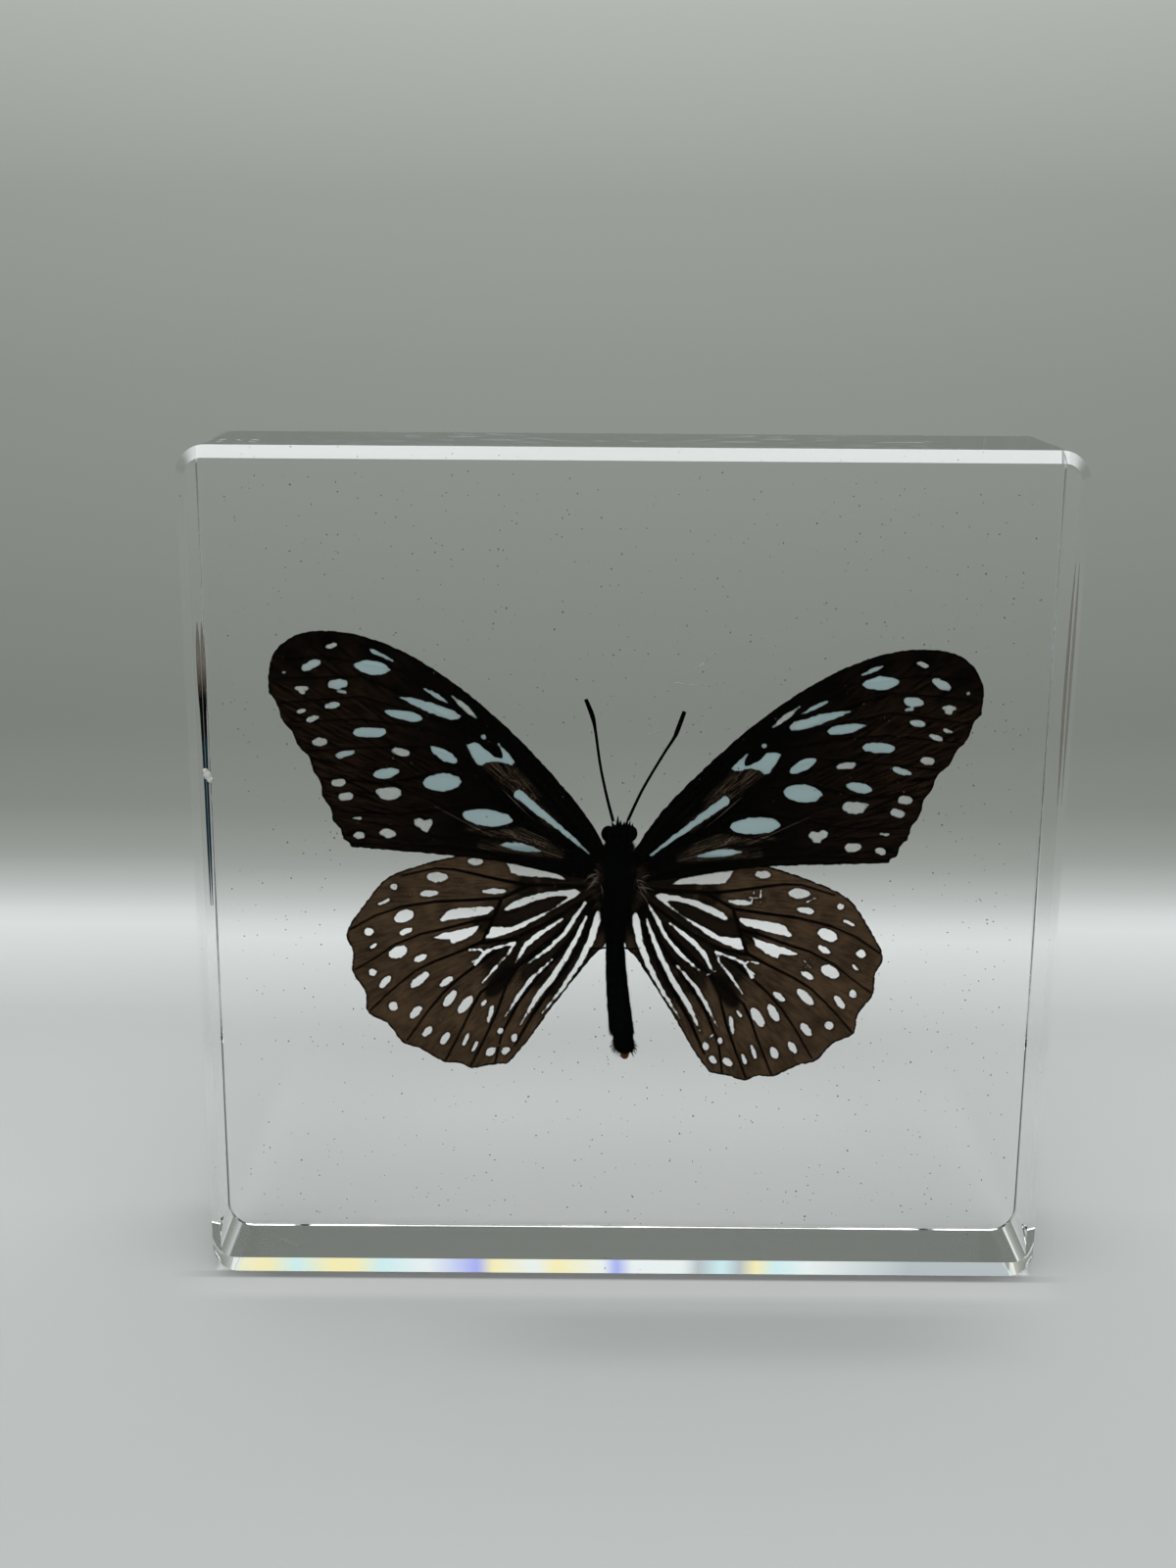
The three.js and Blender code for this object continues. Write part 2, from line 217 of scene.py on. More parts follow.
# Pale marks on the hindwing
HINDWING_MARKS = [
    # along the leading edge
    oval(18.9, -1.5, 2.1, 0.95), oval(23.9, -3.9, 2.8, 1.35), oval(29.5, -5.5, 0.9, 0.8),
    patch((15.2, -1.1), (13.6, -1.4), (11.9, -1.7), (10.3, -2.1), (8.6, -2.4), (7.4, -3.1), (6.8, -3.5),
          (8.0, -3.5), (9.6, -3.3), (11.2, -3.3), (12.9, -3.2), (14.2, -2.9), (14.6, -2.0)),
    oval(24.9, -6.2, 2.4, 0.9, -8), stroke((30.2, -7.4, 0.4), (31.4, -8.0, 0.3)),
    oval(16.2, -5.5, 3.5, 0.75, -3, 0.8),
    # outer rows, from the leading edge round to the inner corner
    oval(28.1, -9.5, 2.8, 1.6, -23), oval(32.7, -11.9, 1.3, 1.1, -23), oval(27.8, -11.6, 1.9, 0.75, -29),
    oval(32.1, -13.9, 1.2, 0.35, -42), oval(28.8, -14.6, 2.7, 1.55, -28),
    oval(25.8, -15.3, 2.1, 0.9, -28, 0.8), oval(32.1, -17.6, 1.0, 1.0), oval(30.4, -18.9, 2.3, 0.9, -51),
    oval(25.8, -18.4, 3.2, 1.15, -43),
    oval(22.3, -18.5, 2.1, 0.8, -40), oval(29.3, -22.3, 1.25, 1.2), oval(26.2, -23.0, 2.3, 1.0, -50),
    oval(21.7, -20.9, 2.8, 1.1, -58), oval(19.6, -21.6, 3.1, 1.2, -56), oval(17.1, -21.2, 1.2, 0.5, -52),
    oval(16.2, -22.8, 2.7, 0.6, -78), oval(24.6, -25.7, 1.9, 0.9, -55), oval(22.2, -26.6, 2.0, 0.9, -61),
    oval(19.4, -26.6, 2.1, 0.55, -68), oval(18.2, -27.7, 1.8, 0.5, -66), oval(14.8, -25.2, 1.0, 0.8, -63),
    oval(12.9, -26.1, 1.3, 0.9, -64), oval(16.0, -28.2, 1.6, 1.05, -44), oval(14.0, -28.0, 1.4, 0.95, -44),
    # the cell and round it
    patch((23.4, -9.8), (22.4, -8.6), (21.5, -8.2), (16.4, -7.6), (16.2, -7.9), (17.0, -8.7), (21.5, -9.7),
          (23.0, -10.0)),
    patch((24.2, -12.4), (22.6, -11.6), (19.9, -10.9), (18.2, -10.4), (18.6, -11.4), (20.0, -12.4),
          (21.7, -13.1), (21.9, -12.5), (23.0, -12.5)),
    patch((4.7, -5.1), (5.7, -4.7), (7.8, -5.0), (10.4, -5.5), (12.9, -6.4), (14.1, -7.1), (14.9, -8.0),
          (14.3, -8.1), (12.6, -7.4), (10.5, -6.5), (8.5, -5.9), (6.9, -5.7), (6.5, -5.9), (7.1, -6.4),
          (8.9, -7.8), (11.1, -8.9), (12.5, -9.6), (13.7, -10.3), (14.9, -10.4), (16.5, -10.5),
          (17.2, -12.1), (16.2, -12.1), (14.2, -11.3), (12.5, -10.5), (10.4, -9.1), (8.4, -7.7),
          (6.4, -6.4)),
    stroke((18.5, -15.9, 0.35), (17.2, -14.1, 0.4), (16.2, -13.5, 0.35), (13.4, -12.6, 0.4),
           (14.0, -14.0, 0.3), (15.6, -15.9, 0.35), (17.4, -18.4, 0.2)),
    stroke((19.3, -13.9, 0.2), (17.9, -13.7, 0.25), (17.4, -14.1, 0.25), (17.7, -14.9, 0.25),
           (18.8, -15.5, 0.2)),
    # streaks that fan out from the root to the inner corner
    stroke((13.1, -15.3, 0.3), (11.9, -12.9, 0.75), (10.2, -11.2, 0.8), (7.1, -8.9, 0.3)),
    stroke((11.4, -15.3, 0.3), (8.7, -13.1, 0.6), (6.7, -10.8, 0.6), (5.3, -8.2, 0.6), (4.2, -6.6, 0.4)),
    stroke((12.1, -24.1, 0.2), (10.4, -20.6, 0.75), (8.2, -17.3, 0.85), (6.4, -14.1, 0.75), (5.1, -11.3, 0.7),
           (4.0, -8.5, 0.4)),
    stroke((14.3, -23.2, 0.2), (12.7, -20.3, 0.55), (11.0, -17.6, 0.6), (8.3, -14.7, 0.3)),
    stroke((9.3, -22.4, 0.15), (6.6, -18.4, 0.6), (4.6, -14.9, 0.8), (3.2, -11.6, 1.0), (2.6, -8.9, 1.1),
           (2.5, -7.9, 0.7)),
]

# Veins, as streaks from root to margin
FOREWING_VEINS = [
    stroke((2.5, 0.5, 0.6), (9.5, 8.3, 0.4), (15.6, 14.4, 0.3), (20.4, 16.6, 0.25)),
    stroke((3.0, -1.6, 0.5), (8.6, 1.6, 0.35), (15.0, 7.0, 0.3), (19.8, 12.0, 0.3), (20.4, 16.6, 0.25)),
    stroke((2.8, -2.6, 0.5), (12.0, -0.2, 0.35), (22.0, 0.9, 0.3), (34.8, 0.9, 0.2)),
    stroke((11.8, 4.2, 0.3), (18.0, 3.2, 0.25), (26.0, 1.6, 0.22), (36.2, 1.9, 0.2)),
    stroke((15.4, 7.2, 0.3), (22.0, 6.2, 0.25), (29.0, 5.0, 0.22), (38.0, 5.2, 0.2)),
    stroke((18.2, 10.2, 0.3), (25.0, 10.6, 0.25), (31.0, 9.2, 0.22), (38.8, 9.6, 0.2)),
    stroke((20.0, 12.8, 0.3), (26.0, 14.2, 0.25), (33.0, 13.9, 0.22), (40.8, 13.2, 0.2)),
    stroke((20.4, 15.6, 0.3), (27.0, 16.8, 0.25), (34.0, 17.6, 0.22), (43.4, 16.9, 0.2)),
    stroke((20.4, 16.6, 0.3), (26.0, 18.4, 0.25), (34.0, 20.6, 0.22), (44.6, 19.4, 0.2)),
    stroke((20.4, 16.6, 0.3), (26.0, 20.2, 0.25), (34.0, 23.2, 0.22), (45.2, 22.6, 0.2)),
    stroke((16.0, 14.6, 0.3), (22.0, 19.4, 0.25), (29.0, 24.2, 0.22), (38.0, 25.6, 0.2), (44.6, 25.4, 0.15)),
]
HINDWING_VEINS = [
    stroke((3.4, -4.3, 0.5), (9.2, -4.3, 0.45), (12.1, -4.4, 0.4), (15.9, -3.8, 0.35), (19.0, -3.2, 0.3),
           (21.6, -2.7, 0.25), (24.2, -2.7, 0.2), (28.5, -3.9, 0.2)),
    stroke((11.8, -4.5, 0.4), (15.3, -6.4, 0.4), (18.9, -6.8, 0.35), (24.1, -7.3, 0.3), (28.4, -8.2, 0.25),
           (31.9, -9.6, 0.22), (35.2, -11.7, 0.2)),
    stroke((15.4, -6.8, 0.4), (16.3, -9.2, 0.4), (18.9, -9.8, 0.3), (22.3, -10.9, 0.28), (25.8, -11.9, 0.25),
           (29.2, -13.5, 0.22), (31.8, -15.5, 0.2), (34.4, -17.3, 0.2)),
    stroke((16.3, -9.2, 0.4), (17.6, -12.6, 0.4), (20.5, -14.1, 0.3), (24.0, -15.7, 0.27),
           (26.4, -17.1, 0.24), (28.6, -19.1, 0.22), (30.3, -20.8, 0.2), (32.3, -23.0, 0.2)),
    stroke((3.4, -5.6, 0.4), (9.0, -9.4, 0.35), (13.4, -11.9, 0.35), (17.6, -12.8, 0.4)),
    stroke((13.4, -11.9, 0.35), (18.7, -16.3, 0.3), (20.7, -18.0, 0.28), (22.8, -20.3, 0.25),
           (24.7, -22.9, 0.22), (27.3, -27.1, 0.2)),
    stroke((3.2, -6.4, 0.8), (8.0, -11.4, 0.7), (12.6, -15.6, 0.5), (17.6, -19.8, 0.3), (18.6, -21.7, 0.28),
           (19.7, -24.5, 0.25), (20.9, -27.2, 0.22), (22.1, -29.9, 0.2)),
    stroke((12.6, -15.6, 0.35), (14.2, -18.4, 0.3), (15.4, -22.6, 0.28), (17.1, -26.9, 0.24),
           (18.6, -30.4, 0.2)),
    stroke((3.0, -7.4, 0.8), (6.6, -12.6, 0.7), (9.6, -16.4, 0.6), (12.6, -21.0, 0.4), (14.6, -25.6, 0.24),
           (15.4, -30.0, 0.2)),
    stroke((3.2, -8.6, 0.6), (4.6, -12.4, 0.6), (7.6, -17.6, 0.55), (10.6, -22.6, 0.4), (12.8, -27.2, 0.2)),
]

# Rubbed streaks, pale hairline scratches, and the hindwing's dark places
FOREWING_RUBS = [
    stroke((17.6, 12.4, 0.6), (14.6, 11.0, 1.6), (11.4, 7.8, 1.0)),
    stroke((19.4, 13.4, 0.2), (9.0, 4.6, 0.8)),
    stroke((19.6, 3.4, 0.3), (13.6, 2.9, 1.2), (8.4, 0.7, 0.8)), stroke((17.8, 1.2, 0.8), (8.0, 0.2, 0.4)),
]
FOREWING_SHADES = [(43.0, 25.5, 2.6), (38.0, 27.6, 2.8), (32.0, 26.4, 2.8), (26.0, 23.6, 2.6),
                   (20.0, 18.6, 3.4)]
FOREWING_SCRATCHES = [
    stroke((24.4, 6.3, 0.05), (16.6, 2.3, 0.05)),
    stroke((14.9, 3.9, 0.05), (13.7, 2.3, 0.07), (12.0, 1.7, 0.05)),
    stroke((12.9, 3.6, 0.05), (8.9, 1.9, 0.06)), stroke((16.2, 3.4, 0.04), (9.6, 1.5, 0.06)),
    stroke((15.6, 8.8, 0.05), (11.2, 4.6, 0.05)), stroke((14.2, 1.9, 0.08), (7.6, -0.2, 0.06)),
]
HINDWING_RUBS = [
    stroke((20.4, -4.6, 1.6), (15.0, -5.0, 1.0)), stroke((24.0, -5.6, 0.8), (24.2, -8.4, 0.4)),
    stroke((17.2, -13.6, 0.8), (19.6, -17.6, 0.6)), stroke((13.2, -17.0, 0.8), (12.6, -19.8, 1.0)),
    stroke((18.6, -19.6, 0.8), (17.6, -25.0, 0.8)), stroke((11.4, -15.6, 0.4), (12.6, -24.6, 0.6)),
    stroke((18.0, -1.8, 0.8), (14.0, -1.2, 0.6)),
]
HINDWING_SHADES = [
    (8.6, -7.4, 3.0), (12.2, -8.7, 2.6), (15.0, -9.2, 1.8), (15.2, -14.8, 2.6), (3.0, -6.0, 5.6),
    (7.6, -3.9, 3.0), (6.0, -10.4, 4.0), (9.6, -12.6, 3.2), (5.0, -14.6, 3.2), (12.6, -13.4, 2.4),
    (12.0, -4.8, 1.6), (17.4, -9.8, 1.6), (10.4, -16.6, 2.2), (8.0, -18.0, 2.0),
]
SCENT_PATCH = oval(15.2, -18.2, 5.4, 2.3, -53)
RIGHT_FLECKS = [
    stroke((17.9, -3.9, 0.1), (17.7, -5.8, 0.05)), stroke((18.8, -3.7, 0.1), (18.9, -5.6, 0.05)),
    stroke((17.2, -4.7, 0.08), (19.3, -4.9, 0.05)), stroke((25.0, -5.0, 0.1), (26.2, -4.4, 0.05)),
    stroke((25.2, -13.2, 0.1), (26.2, -14.2, 0.05)), stroke((26.1, -13.0, 0.08), (25.4, -14.3, 0.05)),
    stroke((12.4, -15.9, 0.2), (13.6, -15.3, 0.1)), stroke((12.2, -26.0, 0.08), (13.8, -24.4, 0.12)),
]

# Where the forewing's marks are palest, as (x, z, radius)
FOREWING_PALE = [(38.0, 27.5, 2.5), (41.5, 20.0, 4.0), (39.5, 14.5, 3.0), (36.5, 8.5, 2.6), (34.0, 3.0, 2.6),
                 (30.4, 2.4, 2.2), (25.8, 3.7, 1.6), (28.8, 13.4, 1.4), (30.2, 7.8, 1.5), (20.5, 19.4, 1.6)]


# Shader maths

class Wire:
    """A number in a material. Arithmetic on it adds Math nodes."""

    def __init__(self, tree, socket):
        self.tree = tree
        self.socket = socket

    def maths(self, operation, *values):
        node = self.tree.nodes.new("ShaderNodeMath")
        node.operation = operation
        for slot, value in zip(node.inputs, values):
            if isinstance(value, Wire):
                self.tree.links.new(value.socket, slot)
            else:
                slot.default_value = value
        return Wire(self.tree, node.outputs[0])

    def __add__(self, other):
        return self.maths("ADD", self, other)

    def __radd__(self, other):
        return self.maths("ADD", other, self)

    def __sub__(self, other):
        return self.maths("SUBTRACT", self, other)

    def __rsub__(self, other):
        return self.maths("SUBTRACT", other, self)

    def __mul__(self, other):
        return self.maths("MULTIPLY", self, other)

    def __rmul__(self, other):
        return self.maths("MULTIPLY", other, self)

    def most(self, other):
        return self.maths("MAXIMUM", self, other)

    def least(self, other):
        return self.maths("MINIMUM", self, other)

    def step(self, low, high):
        """0 below low, 1 above high and smooth between."""
        node = self.tree.nodes.new("ShaderNodeMapRange")
        node.interpolation_type = "SMOOTHSTEP"
        node.inputs["From Min"].default_value = low
        node.inputs["From Max"].default_value = high
        self.tree.links.new(self.socket, node.inputs["Value"])
        return Wire(self.tree, node.outputs["Result"])

    def band(self, low, full, fade, high):
        """1 from full to fade, and smoothly down to 0 at low and high."""
        return self.step(low, full) * (1 - self.step(fade, high))


class Finish:
    """A material with one Principled shader, built from wires and colours."""

    def __init__(self, name, **values):
        self.material = bpy.data.materials.new(name)
        self.material.use_nodes = True
        self.tree = self.material.node_tree
        self.shader = self.tree.nodes["Principled BSDF"]
        self.set(**{"Specular_IOR_Level": 0.0, **values})

    def set(self, **values):
        """Sets the shader's sockets: Base_Color stands for Base Color."""
        for name, value in values.items():
            self.feed(self.shader.inputs[name.replace("_", " ")], value)

    def feed(self, slot, value):
        if isinstance(value, Wire):
            self.tree.links.new(value.socket, slot)
        elif isinstance(value, bpy.types.NodeSocket):
            self.tree.links.new(value, slot)
        elif hasattr(slot.default_value, "__len__"):
            slot.default_value = (*value, 1.0)[:len(slot.default_value)]
        else:
            slot.default_value = value

    def node(self, kind, settings=(), **inputs):
        """Adds a node: its settings first, then its sockets by name or by number as in0."""
        node = self.tree.nodes.new("ShaderNode" + kind)
        for name, value in dict(settings).items():
            setattr(node, name, value)
        for name, value in inputs.items():
            key = int(name[2:]) if name[:2] == "in" and name[2:].isdigit() else name.replace("_", " ")
            self.feed(node.inputs[key], value)
        return node

    def attribute(self, name):
        node = self.node("Attribute", {"attribute_name": name})
        return Wire(self.tree, node.outputs["Fac"])

    def place(self):
        """Object coordinates, in metres."""
        return self.node("TexCoord").outputs["Object"]

    def coordinate(self, axis):
        """How far each place is along X, Y or Z, in metres."""
        node = self.node("SeparateXYZ", Vector=self.place())
        return Wire(self.tree, node.outputs[axis])

    def along_wing(self, reach, bearing):
        """Places that run outwards from the wing's root, for streaks that fan out."""
        node = self.node("CombineXYZ", X=self.attribute("reach") * reach,
                         Y=self.attribute("bearing") * bearing)
        return node.outputs["Vector"]

    def noise(self, scale, place=None, detail=3.0):
        node = self.node("TexNoise", Vector=place or self.place(), Scale=scale, Detail=detail,
                         Roughness=0.55)
        return Wire(self.tree, node.outputs["Fac"])

    def mix(self, factor, one, two, blend="MIX"):
        """Colour one where the factor is 0 and colour two where it is 1."""
        node = self.node("Mix", {"data_type": "RGBA", "blend_type": blend}, in0=factor)
        self.feed(node.inputs[6], one)
        self.feed(node.inputs[7], two)
        return node.outputs[2]

    def mottled(self, colour, scale, dark, light):
        """A colour that noise varies between a dark and a light share of it."""
        return self.mix(self.noise(scale), [dark * c for c in colour], [light * c for c in colour])

    def ramp(self, value, stops):
        """A colour ramp with (place, colour) stops."""
        node = self.node("ValToRGB", Fac=value)
        elements = node.color_ramp.elements
        while len(elements) < len(stops):
            elements.new(1.0)
        for element, (place, colour) in zip(elements, stops):
            element.position = place
            element.color = (*colour, 1.0)
        return node.outputs["Color"]

    def bump(self, height, distance, strength=1.0):
        node = self.node("Bump", Height=height, Distance=distance, Strength=strength)
        self.set(Normal=node.outputs["Normal"])


# Kinds of settings

def length_setting(name, description, default):
    return FloatProperty(name=name, description=description, default=default, unit="LENGTH")


def share_setting(name, description, default):
    return FloatProperty(name=name, description=description, default=default, subtype="FACTOR")


def angle_setting(name, description, degrees):
    return FloatProperty(name=name, description=description, default=math.radians(degrees), subtype="ANGLE")


def colour_setting(name, description, *default):
    return FloatVectorProperty(name=name, description=description, default=default, subtype="COLOR")


def place_setting(name, description, *default):
    return FloatVectorProperty(name=name, description=description, default=default, subtype="TRANSLATION")


def size_setting(name, description, *default):
    return FloatVectorProperty(name=name, description=description, default=default, size=2, unit="LENGTH")


# Shaping helpers

def insect_matrix():
    """From the insect's frame in millimetres to the block's frame in metres."""
    place = Matrix.Translation((INSECT_X * MM, 0, INSECT_Z * MM))
    return place @ Matrix.Rotation(INSECT_TURN, 4, "Y") @ Matrix.Scale(MM, 4)


def deselect_all():
    if bpy.context.object and bpy.context.object.mode != "OBJECT":
        bpy.ops.object.mode_set(mode="OBJECT")
    bpy.ops.object.select_all(action="DESELECT")


def named(name):
    """The object just added, renamed."""
    piece = bpy.context.active_object
    piece.name = piece.data.name = name
    return piece


def only(piece):
    """Makes one piece the active object and the only one selected."""
    deselect_all()
    piece.select_set(True)
    bpy.context.view_layer.objects.active = piece
    return piece


def add_modifier(piece, kind, **settings):
    """Adds a modifier and applies it at once."""
    only(piece)
    modifier = piece.modifiers.new(kind.title(), kind)
    for name, value in settings.items():
        setattr(modifier, name, value)
    bpy.ops.object.modifier_apply(modifier=modifier.name)


def join(pieces, name):
    deselect_all()
    for piece in pieces:
        piece.select_set(True)
    bpy.context.view_layer.objects.active = pieces[0]
    bpy.ops.object.join()
    return named(name)


def corners_of(mesh):
    places = np.empty(len(mesh.vertices) * 3)
    mesh.vertices.foreach_get("co", places)
    return places.reshape(-1, 3)


def move_corners(mesh, places):
    mesh.vertices.foreach_set("co", np.asarray(places, float).ravel())
    mesh.update()


def write_field(mesh, name, values):
    """Keeps a number for each vertex, for a material to read."""
    field = mesh.attributes.new(name, "FLOAT", "POINT")
    field.data.foreach_set("value", np.asarray(values, np.float32))


def delete_vertices(piece, doomed):
    only(piece)
    bpy.ops.object.mode_set(mode="EDIT")
    bpy.ops.mesh.select_mode(type="VERT")
    bpy.ops.mesh.select_all(action="DESELECT")
    bpy.ops.object.mode_set(mode="OBJECT")
    piece.data.vertices.foreach_set("select", doomed)
    bpy.ops.object.mode_set(mode="EDIT")
    bpy.ops.mesh.delete(type="VERT")
    bpy.ops.object.mode_set(mode="OBJECT")


def turn_faces_out(piece):
    only(piece)
    bpy.ops.object.mode_set(mode="EDIT")
    bpy.ops.mesh.select_all(action="SELECT")
    bpy.ops.mesh.normals_make_consistent(inside=False)
    bpy.ops.object.mode_set(mode="OBJECT")


def smooth(piece, angle=None):
    only(piece)
    if angle is None:
        bpy.ops.object.shade_smooth()
    else:
        bpy.ops.object.shade_smooth_by_angle(angle=math.radians(angle))


def to_block(piece):
    """Moves a piece from the insect's frame into the block's."""
    piece.data.transform(insect_matrix())
    return piece


def settle(piece, material, slot, *nodes):
    """A finished piece: its material, its slot, which is not used, and the CAD nodes it stands for."""
    piece.data.materials.clear()
    piece.data.materials.append(material)
    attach(piece, "root")
    if nodes:
        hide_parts(*nodes)


def node_middle_y(node):
    low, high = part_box(node)
    return (low.y + high.y) / 2


# Wings

# What each wing carries for its finish to read
FOREWING_FIELDS = {
    "mark_depth": FOREWING_MARKS, "vein_depth": FOREWING_VEINS, "rub_depth": FOREWING_RUBS,
    "scratch_depth": FOREWING_SCRATCHES, "pale": FOREWING_PALE, "shade": FOREWING_SHADES,
}
HINDWING_FIELDS = {
    "mark_depth": HINDWING_MARKS, "vein_depth": HINDWING_VEINS, "rub_depth": HINDWING_RUBS,
    "shade": HINDWING_SHADES, "scent_depth": [SCENT_PATCH],
}
SPOT_FIELDS = ("pale", "shade")  # these are round soft spots, and the others are distances
RIM_REACH = 3.0  # distances to the rim are kept up to this far
VEIN_FOOT = 0.25  # how far a vein's raised foot spreads beside it
SWAY_WAVES = (0.21, 0.17)  # radians for each millimetre along x and z
SLICES = 40  # an outline's distances are worked out in so many parts, to spare memory

# Noise scales of the scales' grain, their blotches and the hindwing's clouds, and the grain's height
GRAIN, BLOTCHES, CLOUDS, GRAIN_HEIGHT = 9000, 1500, 220, 0.00004
# Where a mark fades in across its outline, and the wing across its rim, in millimetres
MARK_EDGE, RIM_FRAY = (-0.05, 0.05), (0.03, 0.09)


def depth_in_outline(places, outline):
    return np.concatenate([depth_in_ring(part, outline) for part in np.array_split(places, SLICES)])


def nearest_on(ring, place):
    a, b = ring, np.roll(ring, -1, axis=0)
    ab = b - a
    t = np.clip(((place - a) * ab).sum(1) / (ab * ab).sum(1), 0, 1)
    on = a + t[:, None] * ab
    return on[np.linalg.norm(on - place, axis=1).argmin()]


def wing_sheet(name, outline, cell):
    """A flat grid cut to the wing's outline, its rim moved onto the outline. Still in millimetres."""
    low, high = outline.min(0) - cell, outline.max(0) + cell
    counts = np.ceil((high - low) / cell).astype(int)
    deselect_all()
    bpy.ops.mesh.primitive_grid_add(x_subdivisions=int(counts[0]), y_subdivisions=int(counts[1]), size=1)
    sheet = named(name)
    flat = corners_of(sheet.data)
    x, z = ((flat[:, :2] + 0.5) * (high - low) + low).T
    move_corners(sheet.data, np.stack((x, np.zeros_like(x), z), 1))
    kept_beyond = 0.35 * cell
    delete_vertices(sheet, depth_in_outline(np.stack((x, z), 1), outline) < kept_beyond)
    shape = bmesh.new()
    shape.from_mesh(sheet.data)
    for vertex in shape.verts:
        if vertex.is_boundary:
            vertex.co.x, vertex.co.z = nearest_on(outline, np.array((vertex.co.x, vertex.co.z)))
    shape.to_mesh(sheet.data)
    shape.free()
    return sheet


def soft_spots(places, spots):
    """1 in the middle of each round spot, and falling off beyond its radius."""
    best = np.zeros(len(places))
    for x, z, radius in spots:
        gap = np.linalg.norm(places - (x, z), axis=1)
        best = np.maximum(best, np.exp(-(gap / radius) ** 2))
    return best


def make_wing(name, node, outline, fields, side, lift, settings):
    """One wing: a thin sheet with raised veins, which carries the distances its finish reads."""
    sheet = wing_sheet(name, outline, settings.cell / MM)
    places = corners_of(sheet.data)
    flat = places[:, [0, 2]]
    from_root = flat - WING_ROOT
    write_field(sheet.data, "rim_depth", np.minimum(depth_in_outline(flat, outline), RIM_REACH))
    write_field(sheet.data, "outward", flat[:, 0])
    write_field(sheet.data, "reach", np.linalg.norm(from_root, axis=1))
    write_field(sheet.data, "bearing", np.arctan2(from_root[:, 1], from_root[:, 0]))
    for field, shapes in fields.items():
        write_field(sheet.data, field, (soft_spots if field in SPOT_FIELDS else depth_in)(flat, shapes))
    vein = depth_in(flat, fields["vein_depth"])
    ridge = settings.vein_height / MM * np.clip(1 + vein / VEIN_FOOT, 0, 1) ** 2
    wave_x, wave_z = (flat * SWAY_WAVES).T
    places[:, 1] = settings.sway / MM * np.sin(wave_x + 1) * np.cos(wave_z) - ridge
    move_corners(sheet.data, places)
    add_modifier(sheet, "SOLIDIFY", thickness=settings.thickness / MM, offset=0)
    middle = Matrix.Translation((0, node_middle_y(node) / MM, 0))
    lifted = Matrix.Rotation(-lift, 4, "Y")
    sheet.data.transform(insect_matrix() @ middle @ lifted @ Matrix.Scale(side, 4, (1, 0, 0)))
    turn_faces_out(sheet)
    smooth(sheet, 50)
    return sheet


def start_wing(name, grain_share):
    """A wing's material, with its grain, the rag of its marks' edges and the fray of its rim."""
    finish = Finish(name, Roughness=0.8)
    speck = finish.noise(GRAIN, detail=2)
    ragged = (speck - 0.5) * grain_share + (finish.noise(BLOTCHES, detail=1) - 0.5) * 0.4
    frayed = (finish.attribute("rim_depth") + ragged).step(*RIM_FRAY)
    finish.bump(speck, GRAIN_HEIGHT, 0.6)
    return finish, speck, ragged, frayed


def forewing_finish(settings):
    """Near black, browner towards the tip, with rubbed places, hairline scratches and pale marks."""
    finish, speck, ragged, frayed = start_wing("forewing_scales", 0.35)
    streak = finish.noise(1, finish.along_wing(0.3, 90))
    brown = finish.attribute("outward").step(14.0, 40.0) * (streak * 0.8 + speck * 0.4).step(0.45, 0.80)
    brown = brown * (1 - finish.attribute("shade"))
    ground = finish.mix(brown, settings.forewing_dark, settings.forewing_brown)
    rub = finish.attribute("rub_depth").step(-0.8, 0.4)
    flecks = (streak * 0.6 + speck * 0.6).step(0.57, 0.73) * rub
    ground = finish.mix(flecks, ground, settings.rubbed)
    scratch = finish.attribute("scratch_depth").step(-0.05, 0.0) * speck.step(0.35, 0.55)
    ground = finish.mix(scratch * 0.75, ground, settings.scratched)
    line = finish.attribute("vein_depth").step(-0.06, 0.02)
    dark_rim = 1 - finish.attribute("rim_depth").step(0.1, 0.5)
    ground = finish.mix(line.most(dark_rim) * 0.85, ground, settings.forewing_dark)
    mark = (finish.attribute("mark_depth") + ragged).step(*MARK_EDGE)
    mark = mark * (1 - speck.step(0.60, 0.72) * 0.35)
    paleness = finish.attribute("pale")
    pale = finish.mix(paleness, settings.mark_blue, settings.mark_pale)
    clearness = settings.forewing_clearness + paleness * 0.33
    finish.set(Base_Color=finish.mix(mark, ground, pale), Alpha=frayed * (1 - mark * clearness))
    return finish.material


